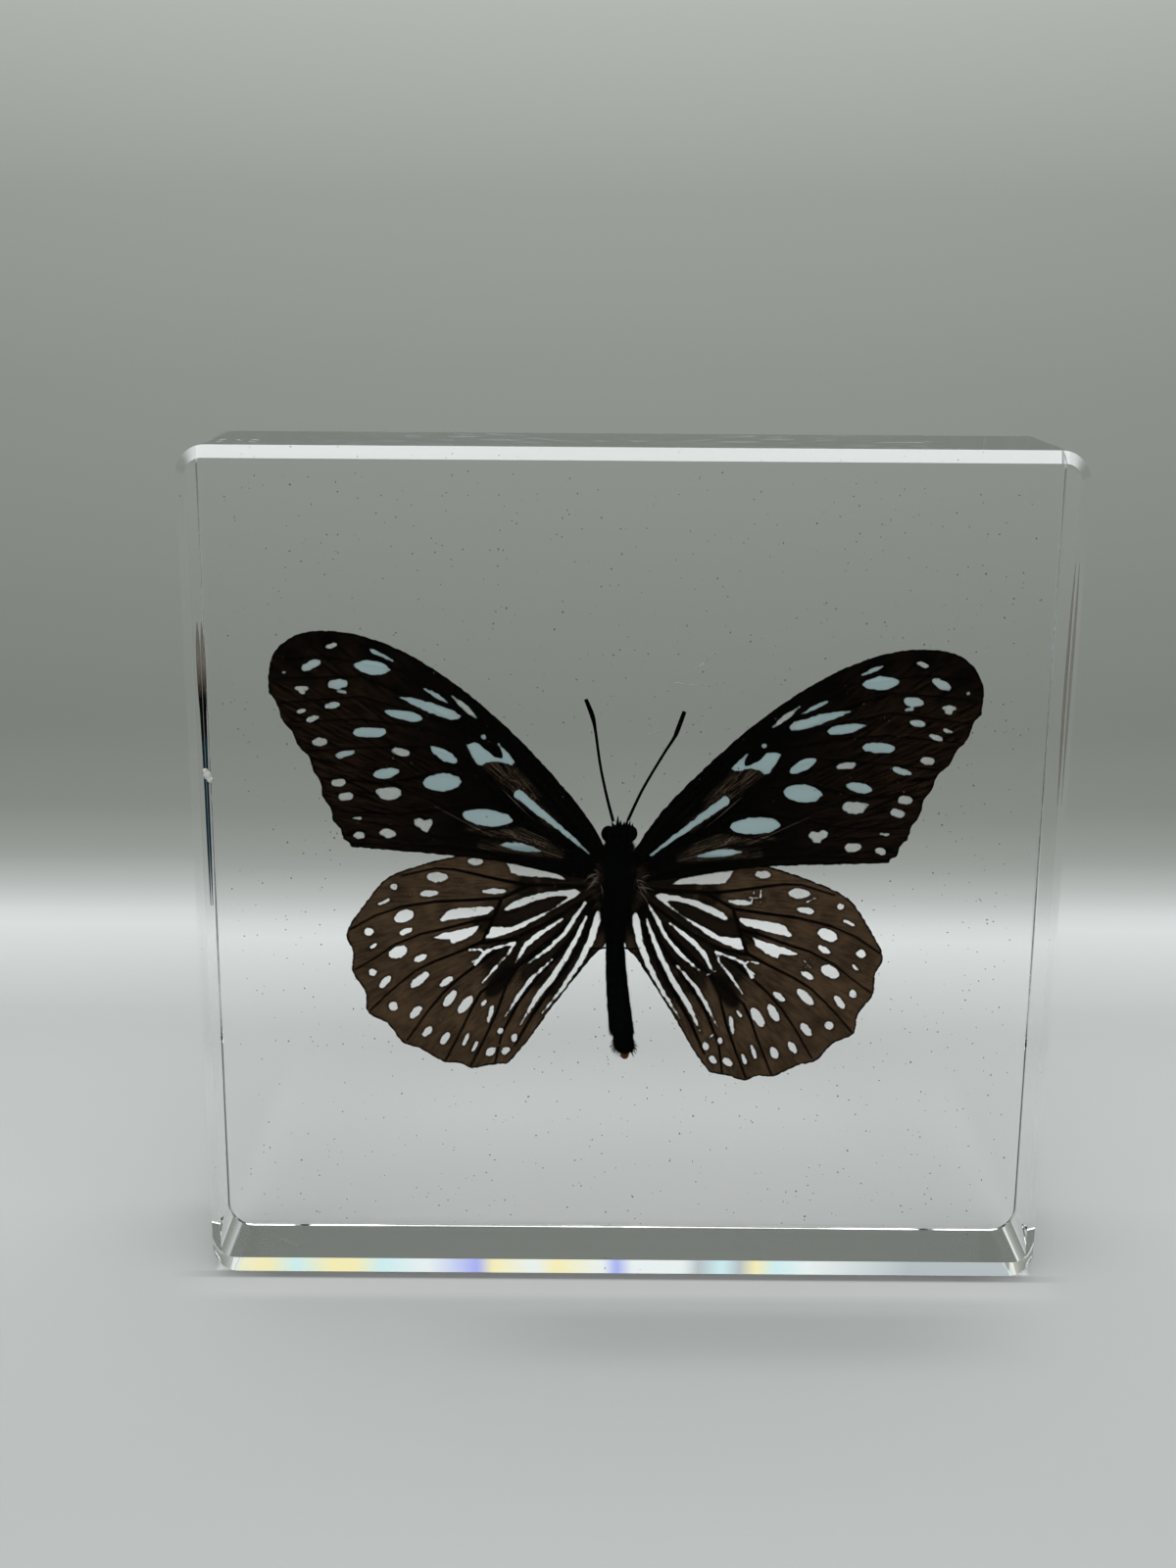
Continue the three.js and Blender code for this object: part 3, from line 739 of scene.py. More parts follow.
def hindwing_finish(settings):
    """Clouded brown with dark places, black veins and rim, white marks and cream streaks at the root."""
    finish, speck, ragged, frayed = start_wing("hindwing_scales", 0.3)
    streak = finish.noise(1, finish.along_wing(0.5, 70), detail=4)
    outward = finish.attribute("outward")
    depth = finish.attribute("mark_depth")
    tone = finish.noise(CLOUDS, detail=2) * 0.5 + streak * 0.5 + speck * 0.3
    ground = finish.mix(tone.step(0.42, 0.88), settings.hindwing_dark, settings.hindwing_brown)
    ground = finish.mix((finish.attribute("shade") * 1.7).least(0.9), ground, settings.hindwing_line)
    rub = finish.attribute("rub_depth").step(-0.9, 0.5)
    flecks = (streak * 0.5 + speck * 0.7).step(0.63, 0.78) * (0.25 + rub)
    ground = finish.mix(flecks.least(1.0), ground, settings.rubbed)
    ground = finish.mix(depth.step(-0.5, -0.05) * 0.4, ground, settings.hindwing_line)
    line = finish.attribute("vein_depth").step(-0.14, 0.04)
    dark_rim = 1 - finish.attribute("rim_depth").step(0.1, 0.45)
    scent = finish.attribute("scent_depth").step(-0.5, 0.3) * 0.95
    ground = finish.mix(line.most(dark_rim).most(scent), ground, settings.hindwing_line)
    mark = (depth + ragged - (1 - outward.step(12.0, 18.0)) * 0.06).step(*MARK_EDGE) * (1 - scent)
    pale = finish.mix(outward.step(6.0, 15.0), settings.mark_cream, settings.mark_white)
    see_through = mark * settings.hindwing_clearness
    finish.set(Base_Color=finish.mix(mark, ground, pale), Alpha=frayed * (1 - see_through))
    return finish.material


class WingSettings(bpy.types.PropertyGroup):
    """Sizes and colours of the wings."""

    cell: length_setting("Cell", "Size of the wing sheets' cells", 0.00018)
    thickness: length_setting("Thickness", "Thickness of a wing", 0.00008)
    vein_height: length_setting("Vein height", "How far a vein stands out", 0.00006)
    sway: length_setting("Sway", "How far a wing waves out of its plane", 0.00009)
    forewing_clearness: share_setting("Forewing clearness", "Light through the forewing's marks", 0.55)
    hindwing_clearness: share_setting("Hindwing clearness", "Light through the hindwing's marks", 0.95)
    forewing_dark: colour_setting("Forewing dark", "Near-black of the forewing", 0.0012, 0.0010, 0.0008)
    forewing_brown: colour_setting("Forewing brown", "Brown of the forewing's tip", 0.024, 0.013, 0.007)
    hindwing_brown: colour_setting("Hindwing brown", "Brown of the hindwing", 0.141, 0.086, 0.047)
    hindwing_dark: colour_setting("Hindwing dark", "Darker brown of the hindwing", 0.036, 0.023, 0.014)
    hindwing_line: colour_setting("Vein colour", "Black of its veins and rim", 0.003, 0.002, 0.0015)
    rubbed: colour_setting("Rubbed", "Brown where scales are rubbed off", 0.11, 0.075, 0.048)
    scratched: colour_setting("Scratched", "Pale brown of hairline scratches", 0.24, 0.19, 0.15)
    mark_blue: colour_setting("Mark blue", "Blue of the marks near the body", 0.58, 0.80, 0.84)
    mark_pale: colour_setting("Mark pale", "Pale blue of the outer marks", 0.85, 0.88, 0.86)
    mark_white: colour_setting("Mark white", "Blue-white of the hindwing's marks", 0.88, 0.88, 0.84)
    mark_cream: colour_setting("Mark cream", "Cream of the hindwing's inner streaks", 0.92, 0.88, 0.78)


class SPECIMEN_OT_wings(bpy.types.Operator):
    """Makes the two forewings and the two hindwings"""

    bl_idname = "specimen.wings"
    bl_label = "Make Wings"

    def execute(self, context):
        settings = context.scene.specimen_wings
        kinds = (("forewing", FOREWING_OUTLINE, FOREWING_FIELDS, FOREWING_LIFT, forewing_finish(settings)),
                 ("hindwing", HINDWING_OUTLINE, HINDWING_FIELDS, -HINDWING_DROP, hindwing_finish(settings)))
        for side, word in ((-1, "left"), (1, "right")):
            for kind, outline, fields, lift, look in kinds:
                if (kind, word) == ("hindwing", "right"):
                    fields = {**fields, "mark_depth": HINDWING_MARKS + RIGHT_FLECKS}
                wing = make_wing(f"{kind}_scaled_{word}", f"{kind}_{word}", wing_outline(outline), fields,
                                 side, lift, settings)
                settle(wing, look, f"{kind}_scales", f"{kind}_{word}")
        return {"FINISHED"}


# Body

# Swellings as x, y, z of the middle, then half width, half depth and half length
SWELLINGS = {
    "head": (-0.2, -0.1, 3.2, 1.75, 1.6, 1.25),
    "collar": (-0.15, 0, 1.3, 2, 1.8, 1.4),
    "thorax": (0.0, 0, -3.2, 2.95, 2.6, 4.6),
    "waist": (-0.2, 0, -7.6, 1.95, 1.8, 2.9),
    "tail_tip": (1.85, 0, -27.55, 0.6, 0.45, 0.9),
}
EYES = ((-1.65, -0.3, 3.2, 0.95, 1.1, 1.1), (1.2, -0.3, 3.35, 0.95, 1.1, 1.1))
# Palp hairs and tufts on the crown, as root and tip, and how deep their root, middle and tip lie
CROWN_SPIKES = (((-0.5, 4.0), (-0.5, 5.75)), ((-0.2, 4.2), (-0.1, 5.15)), ((0.25, 4.2), (0.4, 5.0)),
                ((0.6, 4.0), (0.8, 5.55)), ((0.9, 3.9), (1.15, 5.1)), ((-0.9, 4.0), (-1.3, 4.9)),
                ((1.2, 3.8), (1.5, 4.8)))
SPIKE_RADIUS = 0.26
SPIKE_DEPTHS = (-0.2, -0.45, -0.5)
# The abdomen down its length: height, middle and radius
ABDOMEN_SHAPE = (
    (-7.6, -0.3, 1.35), (-12.3, -0.1, 1.27), (-16.0, 0.2, 1.4), (-20.2, 0.7, 1.56), (-24.0, 1.25, 1.68),
    (-24.7, 1.38, 1.62), (-24.95, 1.5, 1.42), (-26.6, 1.72, 1.42), (-27.5, 1.85, 1.46),
)
ABDOMEN_RINGS, RING_DEPTH, ABDOMEN_FLATNESS, END_BLUNTNESS = 8, 0.07, 0.92, 30
CRUMPLE_SIZE, CRUMPLE_HEIGHT = 0.5, 0.16
# The tips of a folded leg that show beside the waist, and how deep and thick they are
LEG_TIPS = (((-1.2, -12.35), (-2.2, -12.55), (-3.6, -12.5)), ((0.9, -12.3), (2.0, -12.45), (3.3, -12.2)))
LEG_TIP_DEPTH, LEG_TIP_RADII = -0.9, (0.13, 0.12, 0.06)
# The right legs from hip to foot. The left ones mirror them about the middle of the body there
LEGS = (
    ((0.9, 1.6, -1.2), (2.2, 2.9, -2.6), (1.1, 3.2, -5.4), (1.3, 3, -8.2)),
    ((0.9, 1.6, -4.4), (2.4, 2.9, -6.2), (0.9, 2.9, -9.6), (2.1, 1.3, -12.3), (2.9, 0.9, -12.5)),
)
LEG_MIDDLE, HIP_RADIUS, FOOT_RADIUS = 0.1, 0.22, 0.11
# The antennae from root to club as x, z and radius, and how deep they lie
ANTENNAE = {
    "left": ((-1.1, 5, 0.21), (-2.1, 8.4, 0.19), (-3.1, 12.5, 0.18), (-3.9, 17, 0.20), (-4.4, 19, 0.31),
             (-5.3, 21.1, 0.25)),
    "right": ((0.8, 5.2, 0.21), (2.5, 9.4, 0.19), (4.8, 13.9, 0.18), (6.2, 16.4, 0.22), (6.6, 17.4, 0.30),
              (7.4, 20, 0.28)),
}
ANTENNA_DEPTH = -0.7
HORN = (0.001, 0.001, 0.001)
# How a hair bends: the share of its length up to the bend, its width there, and how far its tip sags
HAIR_BEND, HAIR_TAPER, HAIR_SAG = 0.55, 0.7, 0.18
HAIR_SIDE = Vector((0.3, 0.8, 0.5))  # no hair points quite this way, so its sides are turned from it
TAIL_EDGE = (0.0292, 0.0297)  # height in the block below which the tail is brown


def ball(name, x, y, z, half_width, half_depth, half_length, segments=32, rings=20):
    """A sphere stretched to a swelling, in the insect's millimetres."""
    deselect_all()
    bpy.ops.mesh.primitive_uv_sphere_add(segments=segments, ring_count=rings, radius=1)
    piece = named(name)
    stretch = Matrix.Diagonal((half_width, half_depth, half_length, 1))
    piece.data.transform(Matrix.Translation((x, y, z)) @ stretch)
    return piece


def abdomen():
    """A long ball reshaped into a ringed taper that bends sideways."""
    piece = ball("abdomen", 0, 0, 0, 1, 1, 1, 32, 160)
    places = corners_of(piece.data)
    turn = np.arctan2(places[:, 1], places[:, 0])
    t = np.arcsin(np.clip(places[:, 2], -1, 1)) / math.pi + 0.5
    heights, middles, radii = np.array(ABDOMEN_SHAPE)[::-1].T
    z = heights[0] + t * (heights[-1] - heights[0])
    taper = np.sqrt(np.clip(1 - (2 * t - 1) ** END_BLUNTNESS, 0, 1))
    ring = RING_DEPTH * np.abs(np.sin(math.pi * ABDOMEN_RINGS * t))
    radius = (np.interp(z, heights, radii) - RING_DEPTH + ring) * taper
    move_corners(piece.data, np.stack((radius * np.cos(turn) + np.interp(z, heights, middles),
                                       ABDOMEN_FLATNESS * radius * np.sin(turn), z), 1))
    return piece


def tube(name, path, sides=8, steps=6):
    """A round tube along places given as x, y, z and radius, in millimetres."""
    curve = bpy.data.curves.new(name, "CURVE")
    curve.dimensions = "3D"
    curve.bevel_depth = 1
    curve.bevel_resolution = max(0, sides // 2 - 2)
    curve.use_fill_caps = True
    path = spline(path, steps)
    line = curve.splines.new("POLY")
    line.points.add(len(path) - 1)
    for point, (x, y, z, radius) in zip(line.points, path):
        point.co = (x, y, z, 1)
        point.radius = radius
    piece = bpy.data.objects.new(name, curve)
    bpy.context.scene.collection.objects.link(piece)
    only(piece)
    bpy.ops.object.convert(target="MESH")
    return named(name)


def legs():
    """The folded legs, with the tips that show and the crown's tufts."""
    pieces = []
    for leg in LEGS:
        for points in (leg, [(2 * LEG_MIDDLE - x, y, z) for x, y, z in leg]):
            radii = np.linspace(HIP_RADIUS, FOOT_RADIUS, len(points))
            pieces.append(tube("leg", [(*point, radius) for point, radius in zip(points, radii)]))
    for tip in LEG_TIPS:
        path = [(x, LEG_TIP_DEPTH, z, radius) for (x, z), radius in zip(tip, LEG_TIP_RADII)]
        pieces.append(tube("leg_tip", path))
    return join([*pieces, *crown()], "insect_legs")


def crown():
    """The tapering tufts on the head."""
    spikes = []
    root_y, middle_y, tip_y = SPIKE_DEPTHS
    for (x, z), (tip_x, tip_z) in CROWN_SPIKES:
        middle = ((x + tip_x) / 2, middle_y, (z + tip_z) / 2, SPIKE_RADIUS * 0.7)
        spikes.append(tube("spike", ((x, root_y, z, SPIKE_RADIUS), middle, (tip_x, tip_y, tip_z, 0.03))))
    return spikes


def between(low, high, side=0, beyond=-1.0):
    """A test for places between two heights, and on one side beyond a distance from the middle."""
    return lambda place: low < place.z < high and place.x * side > beyond


def fur_of(piece, count, length, width, seed, keep, droop=0.7, spread=0.4):
    """Short bent hairs on the faces that pass a test, joined in one mesh, in the insect's millimetres."""
    rng = random.Random(seed)
    faces = [f for f in piece.data.polygons if keep(f.center)]
    weights = [f.area for f in faces]
    corners, sides = [], []
    for face in rng.choices(faces, weights, k=count):
        root = face.center + Vector([rng.uniform(-1, 1) * math.sqrt(face.area) / 2 for _ in range(3)])
        out = Vector(face.normal)
        lean = Vector([rng.uniform(-spread, spread) for _ in range(3)]) - Vector((0, 0, droop))
        aim = (out + lean).normalized()
        reach = length * rng.uniform(0.5, 1.2)
        side = aim.cross(HAIR_SIDE).normalized() * width / 2
        other = aim.cross(side).normalized() * width / 2
        start = len(corners)
        root -= out * width
        middle = root + aim * reach * HAIR_BEND
        tip = root + aim * reach + Vector((0, 0, -HAIR_SAG * reach))
        for base, share in ((root, 1.0), (middle, HAIR_TAPER)):
            for turn in (0, 2 * math.pi / 3, 4 * math.pi / 3):
                corners.append(base + (side * math.cos(turn) + other * math.sin(turn)) * share)
        corners.append(tip)
        sides.append((start + 2, start + 1, start))
        for i in range(3):
            j = (i + 1) % 3
            sides.append((start + i, start + j, start + 3 + j, start + 3 + i))
            sides.append((start + 3 + i, start + 3 + j, start + 6))
    mesh = bpy.data.meshes.new("hair")
    mesh.from_pydata([tuple(c) for c in corners], [], sides)
    hair = bpy.data.objects.new("hair", mesh)
    bpy.context.scene.collection.objects.link(hair)
    turn_faces_out(hair)
    return hair


def coats(body, settings):
    """The hairs as three meshes: the fur all over, and the brown and cream tufts at the wing roots."""
    many, long = settings.hairs, settings.hair_length / MM
    fur = join([
        fur_of(body, many, long, 0.05, 11, between(-11, 3.6)),
        fur_of(body, many // 2, long * 0.45, 0.045, 12, between(-27, -11)),
        fur_of(body, 320, 0.8, 0.06, 13, between(-27.3, -25.6), droop=0.9),
        fur_of(body, 90, 0.5, 0.06, 17, between(-25.0, -24.2), droop=0.9),
    ], "insect_fur")
    tufts = join([fur_of(body, 260, 1.7, 0.06, seed, between(-6.5, -1.0, side, 1.9), 0.1, 1.1)
                  for side, seed in ((-1, 15), (1, 16))], "insect_tufts")
    cream = join([fur_of(body, 26, length, 0.06, seed, between(low, high, side, 2.3), 0.0, 1.2)
                  for side, seed, length, low, high in ((-1, 18, 1.9, -3.8, -2.0), (1, 19, 1.8, -4.4, -2.4))],
                 "insect_cream_tufts")
    return fur, tufts, cream


class BodySettings(bpy.types.PropertyGroup):
    """Sizes and colours of the body."""

    voxel: length_setting("Voxel", "Fineness of the body's surface", 0.00011)
    hairs: IntProperty(name="Hairs", description="Number of hairs on head and thorax", default=5200)
    hair_length: length_setting("Hair length", "Length of the hairs", 0.0006)
    black: colour_setting("Black", "Black of the body", 0.0006, 0.0008, 0.0010)
    tail_brown: colour_setting("Tail brown", "Orange-brown of the tail's tip", 0.16, 0.06, 0.015)
    tuft: colour_setting("Tuft", "Dark brown hairs at the wing roots", 0.05, 0.032, 0.022)
    tuft_cream: colour_setting("Tuft cream", "Cream hairs at the wing roots", 0.50, 0.42, 0.34)


def body_finish(settings):
    """Black with a grey speckle, and a brown tip to the tail."""
    finish = Finish("body_fur", Roughness=0.85)
    speck = finish.noise(5000)
    tail = 1 - (finish.coordinate("Z") + (speck - 0.5) * 0.0008).step(*TAIL_EDGE)
    colour = finish.mix(speck.step(0.35, 0.8) * 0.6, settings.black, [3 * c for c in settings.black])
    finish.set(Base_Color=finish.mix(tail, colour, settings.tail_brown))
    finish.bump(speck, 0.0001, 0.8)
    return finish.material


def hair_finish(name, colour, roughness=0.7):
    finish = Finish(name, Roughness=roughness)
    finish.set(Base_Color=finish.mottled(colour, 3000, 0.6, 1.5))
    return finish.material


class SPECIMEN_OT_body(bpy.types.Operator):
    """Makes the head, thorax and abdomen with their fur, the eyes, palps, legs and antennae"""

    bl_idname = "specimen.body"
    bl_label = "Make Body"

    def execute(self, context):
        settings = context.scene.specimen_body
        parts = [ball(name, *sizes) for name, sizes in SWELLINGS.items()]
        body = join([*parts, abdomen()], "insect_body")
        add_modifier(body, "REMESH", mode="VOXEL", voxel_size=settings.voxel / MM)
        add_modifier(body, "SMOOTH", iterations=3)
        crumple = bpy.data.textures.new("crumple", "CLOUDS")
        crumple.noise_scale = CRUMPLE_SIZE
        add_modifier(body, "DISPLACE", texture=crumple, strength=CRUMPLE_HEIGHT, mid_level=0.5)
        fur, tufts, cream = coats(body, settings)
        eyes = join([ball("eye", *sizes) for sizes in EYES], "insect_eyes")
        limbs = legs()
        for piece in (body, eyes, limbs):
            smooth(piece)
        settle(to_block(body), body_finish(settings), "body_fur", "butterfly_body")
        settle(to_block(fur), hair_finish("black_hair", settings.black), "body_fur")
        settle(to_block(tufts), hair_finish("brown_hair", settings.tuft), "body_fur")
        settle(to_block(cream), hair_finish("cream_hair", settings.tuft_cream), "body_fur")
        settle(to_block(eyes), hair_finish("eye_horn", HORN, 0.2), "body_fur")
        settle(to_block(limbs), hair_finish("leg_horn", HORN, 0.5), "body_fur")
        antenna_horn = hair_finish("antenna_horn", HORN, 0.45)
        for word, places in ANTENNAE.items():
            path = [(x, ANTENNA_DEPTH, z, radius) for x, z, radius in places]
            antenna = tube(f"antenna_jointed_{word}", path, sides=12, steps=14)
            smooth(antenna)
            settle(to_block(antenna), antenna_horn, "antenna_horn", f"antenna_{word}")
        return {"FINISHED"}


# Clear block

class BlockSettings(bpy.types.PropertyGroup):
    """Sizes and values of the clear block."""

    front_edge: length_setting("Front edge", "Width of the front edges' chamfer", 0.0014)
    top_depth: length_setting("Top depth", "How far back the top chamfer reaches", 0.0022)
    foot_depth: length_setting("Foot depth", "How far back the bottom chamfer reaches", 0.0005)
    foot_height: length_setting("Foot height", "How far up the bottom chamfer reaches", 0.0023)
    back_edge: length_setting("Back edge", "Radius of the back edges", 0.00035)
    corner: length_setting("Corner radius", "Radius of the four corners", 0.0035)
    ior: FloatProperty(name="IOR", description="Refractive index of the resin", default=1.49)
    sheen: share_setting("Sheen", "How strongly flat faces mirror, as a share of a clean face", 0.05)
    density: FloatProperty(name="Density", description="How strongly the resin absorbs light", default=1.5)
    specks: IntProperty(name="Specks", description="Number of dust specks in the resin", default=1500)
    speck_size: length_setting("Speck size", "Largest radius of a dust speck", 0.00013)
    speck_grey: colour_setting("Speck grey", "Grey of the dust specks", 0.13, 0.13, 0.12)
    # The left streak's brown, black and blue colour a painted reflection; the brown also colours the faint
    # right streak
    streak_brown: colour_setting("Streak brown", "Brown of the streak in the left edge", 0.20, 0.14, 0.08)
    reflection_dark: colour_setting("Streak dark", "Black of the streak in the left edge", 0.008, 0.006, 0.005)
    reflection_blue: colour_setting("Streak blue", "Blue of the streak in the left edge", 0.012, 0.045, 0.075)
    white_spot: colour_setting("Chip", "White of the chip in the left edge", 0.95, 0.94, 0.90)
    fibre_pale: colour_setting("Fibre", "Pale grey of the fibres in the resin", 0.62, 0.64, 0.60)
    tint: colour_setting("Tint", "Colour that the resin lets through", 0.80, 0.90, 0.88)


def clear_finish(settings):
    finish = Finish("clear_resin", Roughness=0.0, IOR=settings.ior, Transmission_Weight=1.0,
                    Base_Color=(1.0, 1.0, 1.0), Specular_IOR_Level=0.5, Specular_Tint=[settings.sheen] * 3)
    finish.bump(finish.noise(45, detail=1), 0.0001, 0.15)
    absorb = finish.node("VolumeAbsorption", Color=tuple(settings.tint), Density=settings.density)
    output = finish.tree.nodes["Material Output"]
    finish.tree.links.new(absorb.outputs["Volume"], output.inputs["Volume"])
    return finish.material


# Thin streaks in the side edges, in millimetres from the bottom middle of the block: x, y, z and radius. The
# left one is a painted reflection of something dark beside the block, and the right one a faint brown line
LEFT_REFLECTION_STREAK = ((-55.3, 6.5, 87, 0.04), (-55.3, 6.5, 84, 0.26), (-55.3, 6.5, 79, 0.28),
               (-55.38, 6.5, 74, 0.2), (-55.43, 6.5, 66, 0.15), (-55.45, 6.5, 56, 0.13),
               (-55.47, 6.5, 48.5, 0.04))
RIGHT_STREAK = ((54.5, -9, 97, 0.04), (54.5, -9, 90, 0.26), (54.4, -9, 78, 0.28), (54.4, -9, 66, 0.03))
# The painted reflection's heights in metres, over which brown turns black, black turns blue, and it gets
# fainter
BROWN_ABOVE, BLUE_BELOW, FAINT_ABOVE = (0.076, 0.081), (0.070, 0.073), (0.075, 0.083)
# A small white spot on the left side, as small joined balls
WHITE_SPOT = ((-53.3, -9.6, 69.4, 0.5, 0.4, 0.6), (-52.95, -9.6, 68.8, 0.42, 0.35, 0.4),
        (-53.5, -9.6, 70.0, 0.35, 0.3, 0.3))
# The scratch in the lower left of the front
SCRATCH = ((-47.4, -10.8, 5.6, 0.02), (-45.6, -10.8, 4.8, 0.045), (-43.8, -10.8, 4.1, 0.02))
# Pale fibres beside the antennae, in the insect's millimetres, and how deep they lie
FIBRES = (((8.5, 25.7), (9.3, 26.3), (10.6, 27.7), (11.7, 27.9)), ((6.0, 23.8), (7.6, 23.6), (9.9, 23.6)),
          ((3.0, 16.9), (4.4, 17.4)))
FIBRE_DEPTH, FIBRE_RADIUS = -1.0, 0.05
# How much of what is behind them the small marks cover
DUST_COVER, FIBRE_COVER, STREAK_COVER, SCRATCH_COVER, WHITE_SPOT_COVER = 0.45, 0.7, 0.3, 0.6, 0.9
CORNER_STEPS, BACK_STEPS = 12, 10  # facets round the block's corners and its back edges
TOUCH = 1e-6  # how near a face a corner of the mesh counts as on it


def speck_finish(name, colour, cover):
    finish = Finish(name, Roughness=0.9, Alpha=cover)
    finish.set(Base_Color=finish.mottled(colour, 900, 0.7, 1.3))
    return finish.material


def reflection_streak_finish(settings):
    """A painted reflection in the left edge: brown at the top, then black, then dark blue towards the foot.
    """
    finish = Finish("reflection_streak", Roughness=0.6)
    height = finish.coordinate("Z")
    wavy = height + (finish.noise(700) - 0.5) * 0.004
    colour = finish.mix(wavy.step(*BROWN_ABOVE), settings.reflection_dark, settings.streak_brown)
    colour = finish.mix(wavy.step(*BLUE_BELOW), settings.reflection_blue, colour)
    finish.set(Base_Color=colour, Alpha=1 - height.step(*FAINT_ABOVE) * 0.6)
    return finish.material


def scatter_specks(low, high, settings):
    """Dust specks in the resin: one small ball, copied with its own size and place each time."""
    rng = np.random.default_rng(21)
    deselect_all()
    bpy.ops.mesh.primitive_ico_sphere_add(subdivisions=1, radius=1)
    seed = named("resin_specks")
    ball_corners = corners_of(seed.data)
    faces = [tuple(face.vertices) for face in seed.data.polygons]
    margin = settings.corner
    count = settings.specks
    middles = rng.uniform(np.array(low) + margin, np.array(high) - margin, (count, 3))
    sizes = settings.speck_size * rng.uniform(0.4, 1.0, (count, 1))
    sizes = sizes * rng.uniform(0.6, 1.3, (count, 3))
    corners = (middles[:, None] + ball_corners[None] * sizes[:, None]).reshape(-1, 3)
    shift = len(ball_corners)
    copies = [tuple(v + i * shift for v in face) for i in range(count) for face in faces]
    seed.data.clear_geometry()
    seed.data.from_pydata(corners.tolist(), [], copies)
    seed.data.update()
    return seed


def bevel_where(piece, chosen, radius, segments):
    """Rounds over the edges whose two ends pass a test."""
    only(piece)
    bpy.ops.object.mode_set(mode="EDIT")
    shape = bmesh.from_edit_mesh(piece.data)
    for part in (*shape.verts, *shape.edges, *shape.faces):
        part.select = False
    for edge in shape.edges:
        a, b = (vertex.co for vertex in edge.verts)
        edge.select = chosen(a, b)
    bmesh.update_edit_mesh(piece.data)
    bpy.ops.mesh.select_mode(type="EDGE")
    bpy.ops.mesh.bevel(offset=radius, segments=segments, affect="EDGES", clamp_overlap=False)
    bpy.ops.object.mode_set(mode="OBJECT")


def lean_chamfer(piece, low, high, settings):
    """Makes the front chamfer deeper along the top, and taller and shallower along the foot."""
    places = corners_of(piece.data)
    inner_low, inner_high = np.array(low) + settings.corner, np.array(high) - settings.corner
    out = places - np.clip(places, inner_low, inner_high)
    out[:, 1] = 0
    rise = out[:, 2] / np.maximum(np.linalg.norm(out, axis=1), 1e-9)
    top, foot = np.clip(rise, 0, 1), np.clip(-rise, 0, 1)
    in_front = places[:, 1] < low.y + TOUCH
    on_side = ~in_front & (places[:, 1] < low.y + settings.front_edge + 10 * TOUCH)
    places[:, 2] += in_front * foot * (settings.foot_height - settings.front_edge)
    places[:, 1] += on_side * (top * (settings.top_depth - settings.front_edge)
                               + foot * (settings.foot_depth - settings.front_edge))
    move_corners(piece.data, places)


class SPECIMEN_OT_block(bpy.types.Operator):
    """Makes the clear block round the insect"""

    bl_idname = "specimen.block"
    bl_label = "Make Clear Block"

    def execute(self, context):
        settings = context.scene.specimen_block
        boxes = [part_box(node) for node in ("resin_block_front", "resin_block_back")]
        low = Vector([min(a[0][i] for a in boxes) for i in range(3)])
        high = Vector([max(a[1][i] for a in boxes) for i in range(3)])
        deselect_all()
        bpy.ops.mesh.primitive_cube_add(size=1, location=(low + high) / 2, scale=high - low)
        bpy.ops.object.transform_apply(location=True, rotation=True, scale=True)
        block = named("resin_block")
        bevel_where(block, lambda a, b: abs(a.y - b.y) > TOUCH, settings.corner, CORNER_STEPS)
        bevel_where(block, lambda a, b: max(a.y, b.y) < low.y + TOUCH, settings.front_edge, 1)
        lean_chamfer(block, low, high, settings)
        bevel_where(block, lambda a, b: min(a.y, b.y) > high.y - TOUCH, settings.back_edge, BACK_STEPS)
        smooth(block, 10)
        add_modifier(block, "WEIGHTED_NORMAL", weight=100, keep_sharp=True)
        settle(block, clear_finish(settings), "clear_resin", "resin_block_front", "resin_block_back")
        specks = scatter_specks(low, high, settings)
        settle(specks, speck_finish("dust_grey", settings.speck_grey, DUST_COVER), "clear_resin")
        paths = [[(x, FIBRE_DEPTH, z, FIBRE_RADIUS) for x, z in fibre] for fibre in FIBRES]
        fibres = join([tube("fibre", path, steps=8) for path in paths], "resin_fibres")
        fibre_pale = speck_finish("fibre_pale", settings.fibre_pale, FIBRE_COVER)
        settle(to_block(fibres), fibre_pale, "clear_resin")
        marks = (
            # the left streak is a painted reflection of something dark beside the block
            (tube("reflection_streak_left", LEFT_REFLECTION_STREAK), reflection_streak_finish(settings)),
            (tube("faint_streak_right", RIGHT_STREAK),
             speck_finish("streak_faint", settings.streak_brown, STREAK_COVER)),
            (tube("front_scratch", SCRATCH),
             speck_finish("scratch_pale", settings.fibre_pale, SCRATCH_COVER)),
            (join([ball("chip", *sizes, segments=12, rings=8) for sizes in WHITE_SPOT], "edge_white_spot"),
             speck_finish("white_spot", settings.white_spot, WHITE_SPOT_COVER)),
        )
        for mark, look in marks:
            mark.data.transform(Matrix.Scale(MM, 4))
            settle(mark, look, "clear_resin")
        return {"FINISHED"}


# Stage

class StageSettings(bpy.types.PropertyGroup):
    """The floor, the lights and the camera."""

    gap: length_setting("Gap", "Air between the floor and the block's polished lower face", 0.00015)
    lamp_power: FloatProperty(name="Lamp", description="Power of the overhead lamp in watts", default=7.0)
    lamp_size: size_setting("Lamp size", "Width and depth of the overhead lamp", 0.90, 0.80)
    lamp_place: place_setting("Lamp place", "Place of the overhead lamp", 0.0, 0.0, 0.85)
    fill_power: FloatProperty(name="Fill", description="Power of the front lamp in watts", default=4.0)
    fill_size: size_setting("Fill size", "Width and height of the soft lamp in front", 0.80, 0.60)
    fill_place: place_setting("Fill place", "Place of the soft lamp in front", 0.0, -0.90, 0.75)
    ambient: FloatProperty(name="Ambient", description="Brightness of the surroundings", default=0.42)
    lens: FloatProperty(name="Lens", description="Focal length in millimetres", default=44.1)
    camera_place: place_setting("Camera", "Place of the camera", -0.0052, -0.2444, 0.13225)
    camera_pitch: angle_setting("Pitch", "How far the camera looks down", 15.2)
    camera_roll: angle_setting("Roll", "How far the camera leans", 0.4)


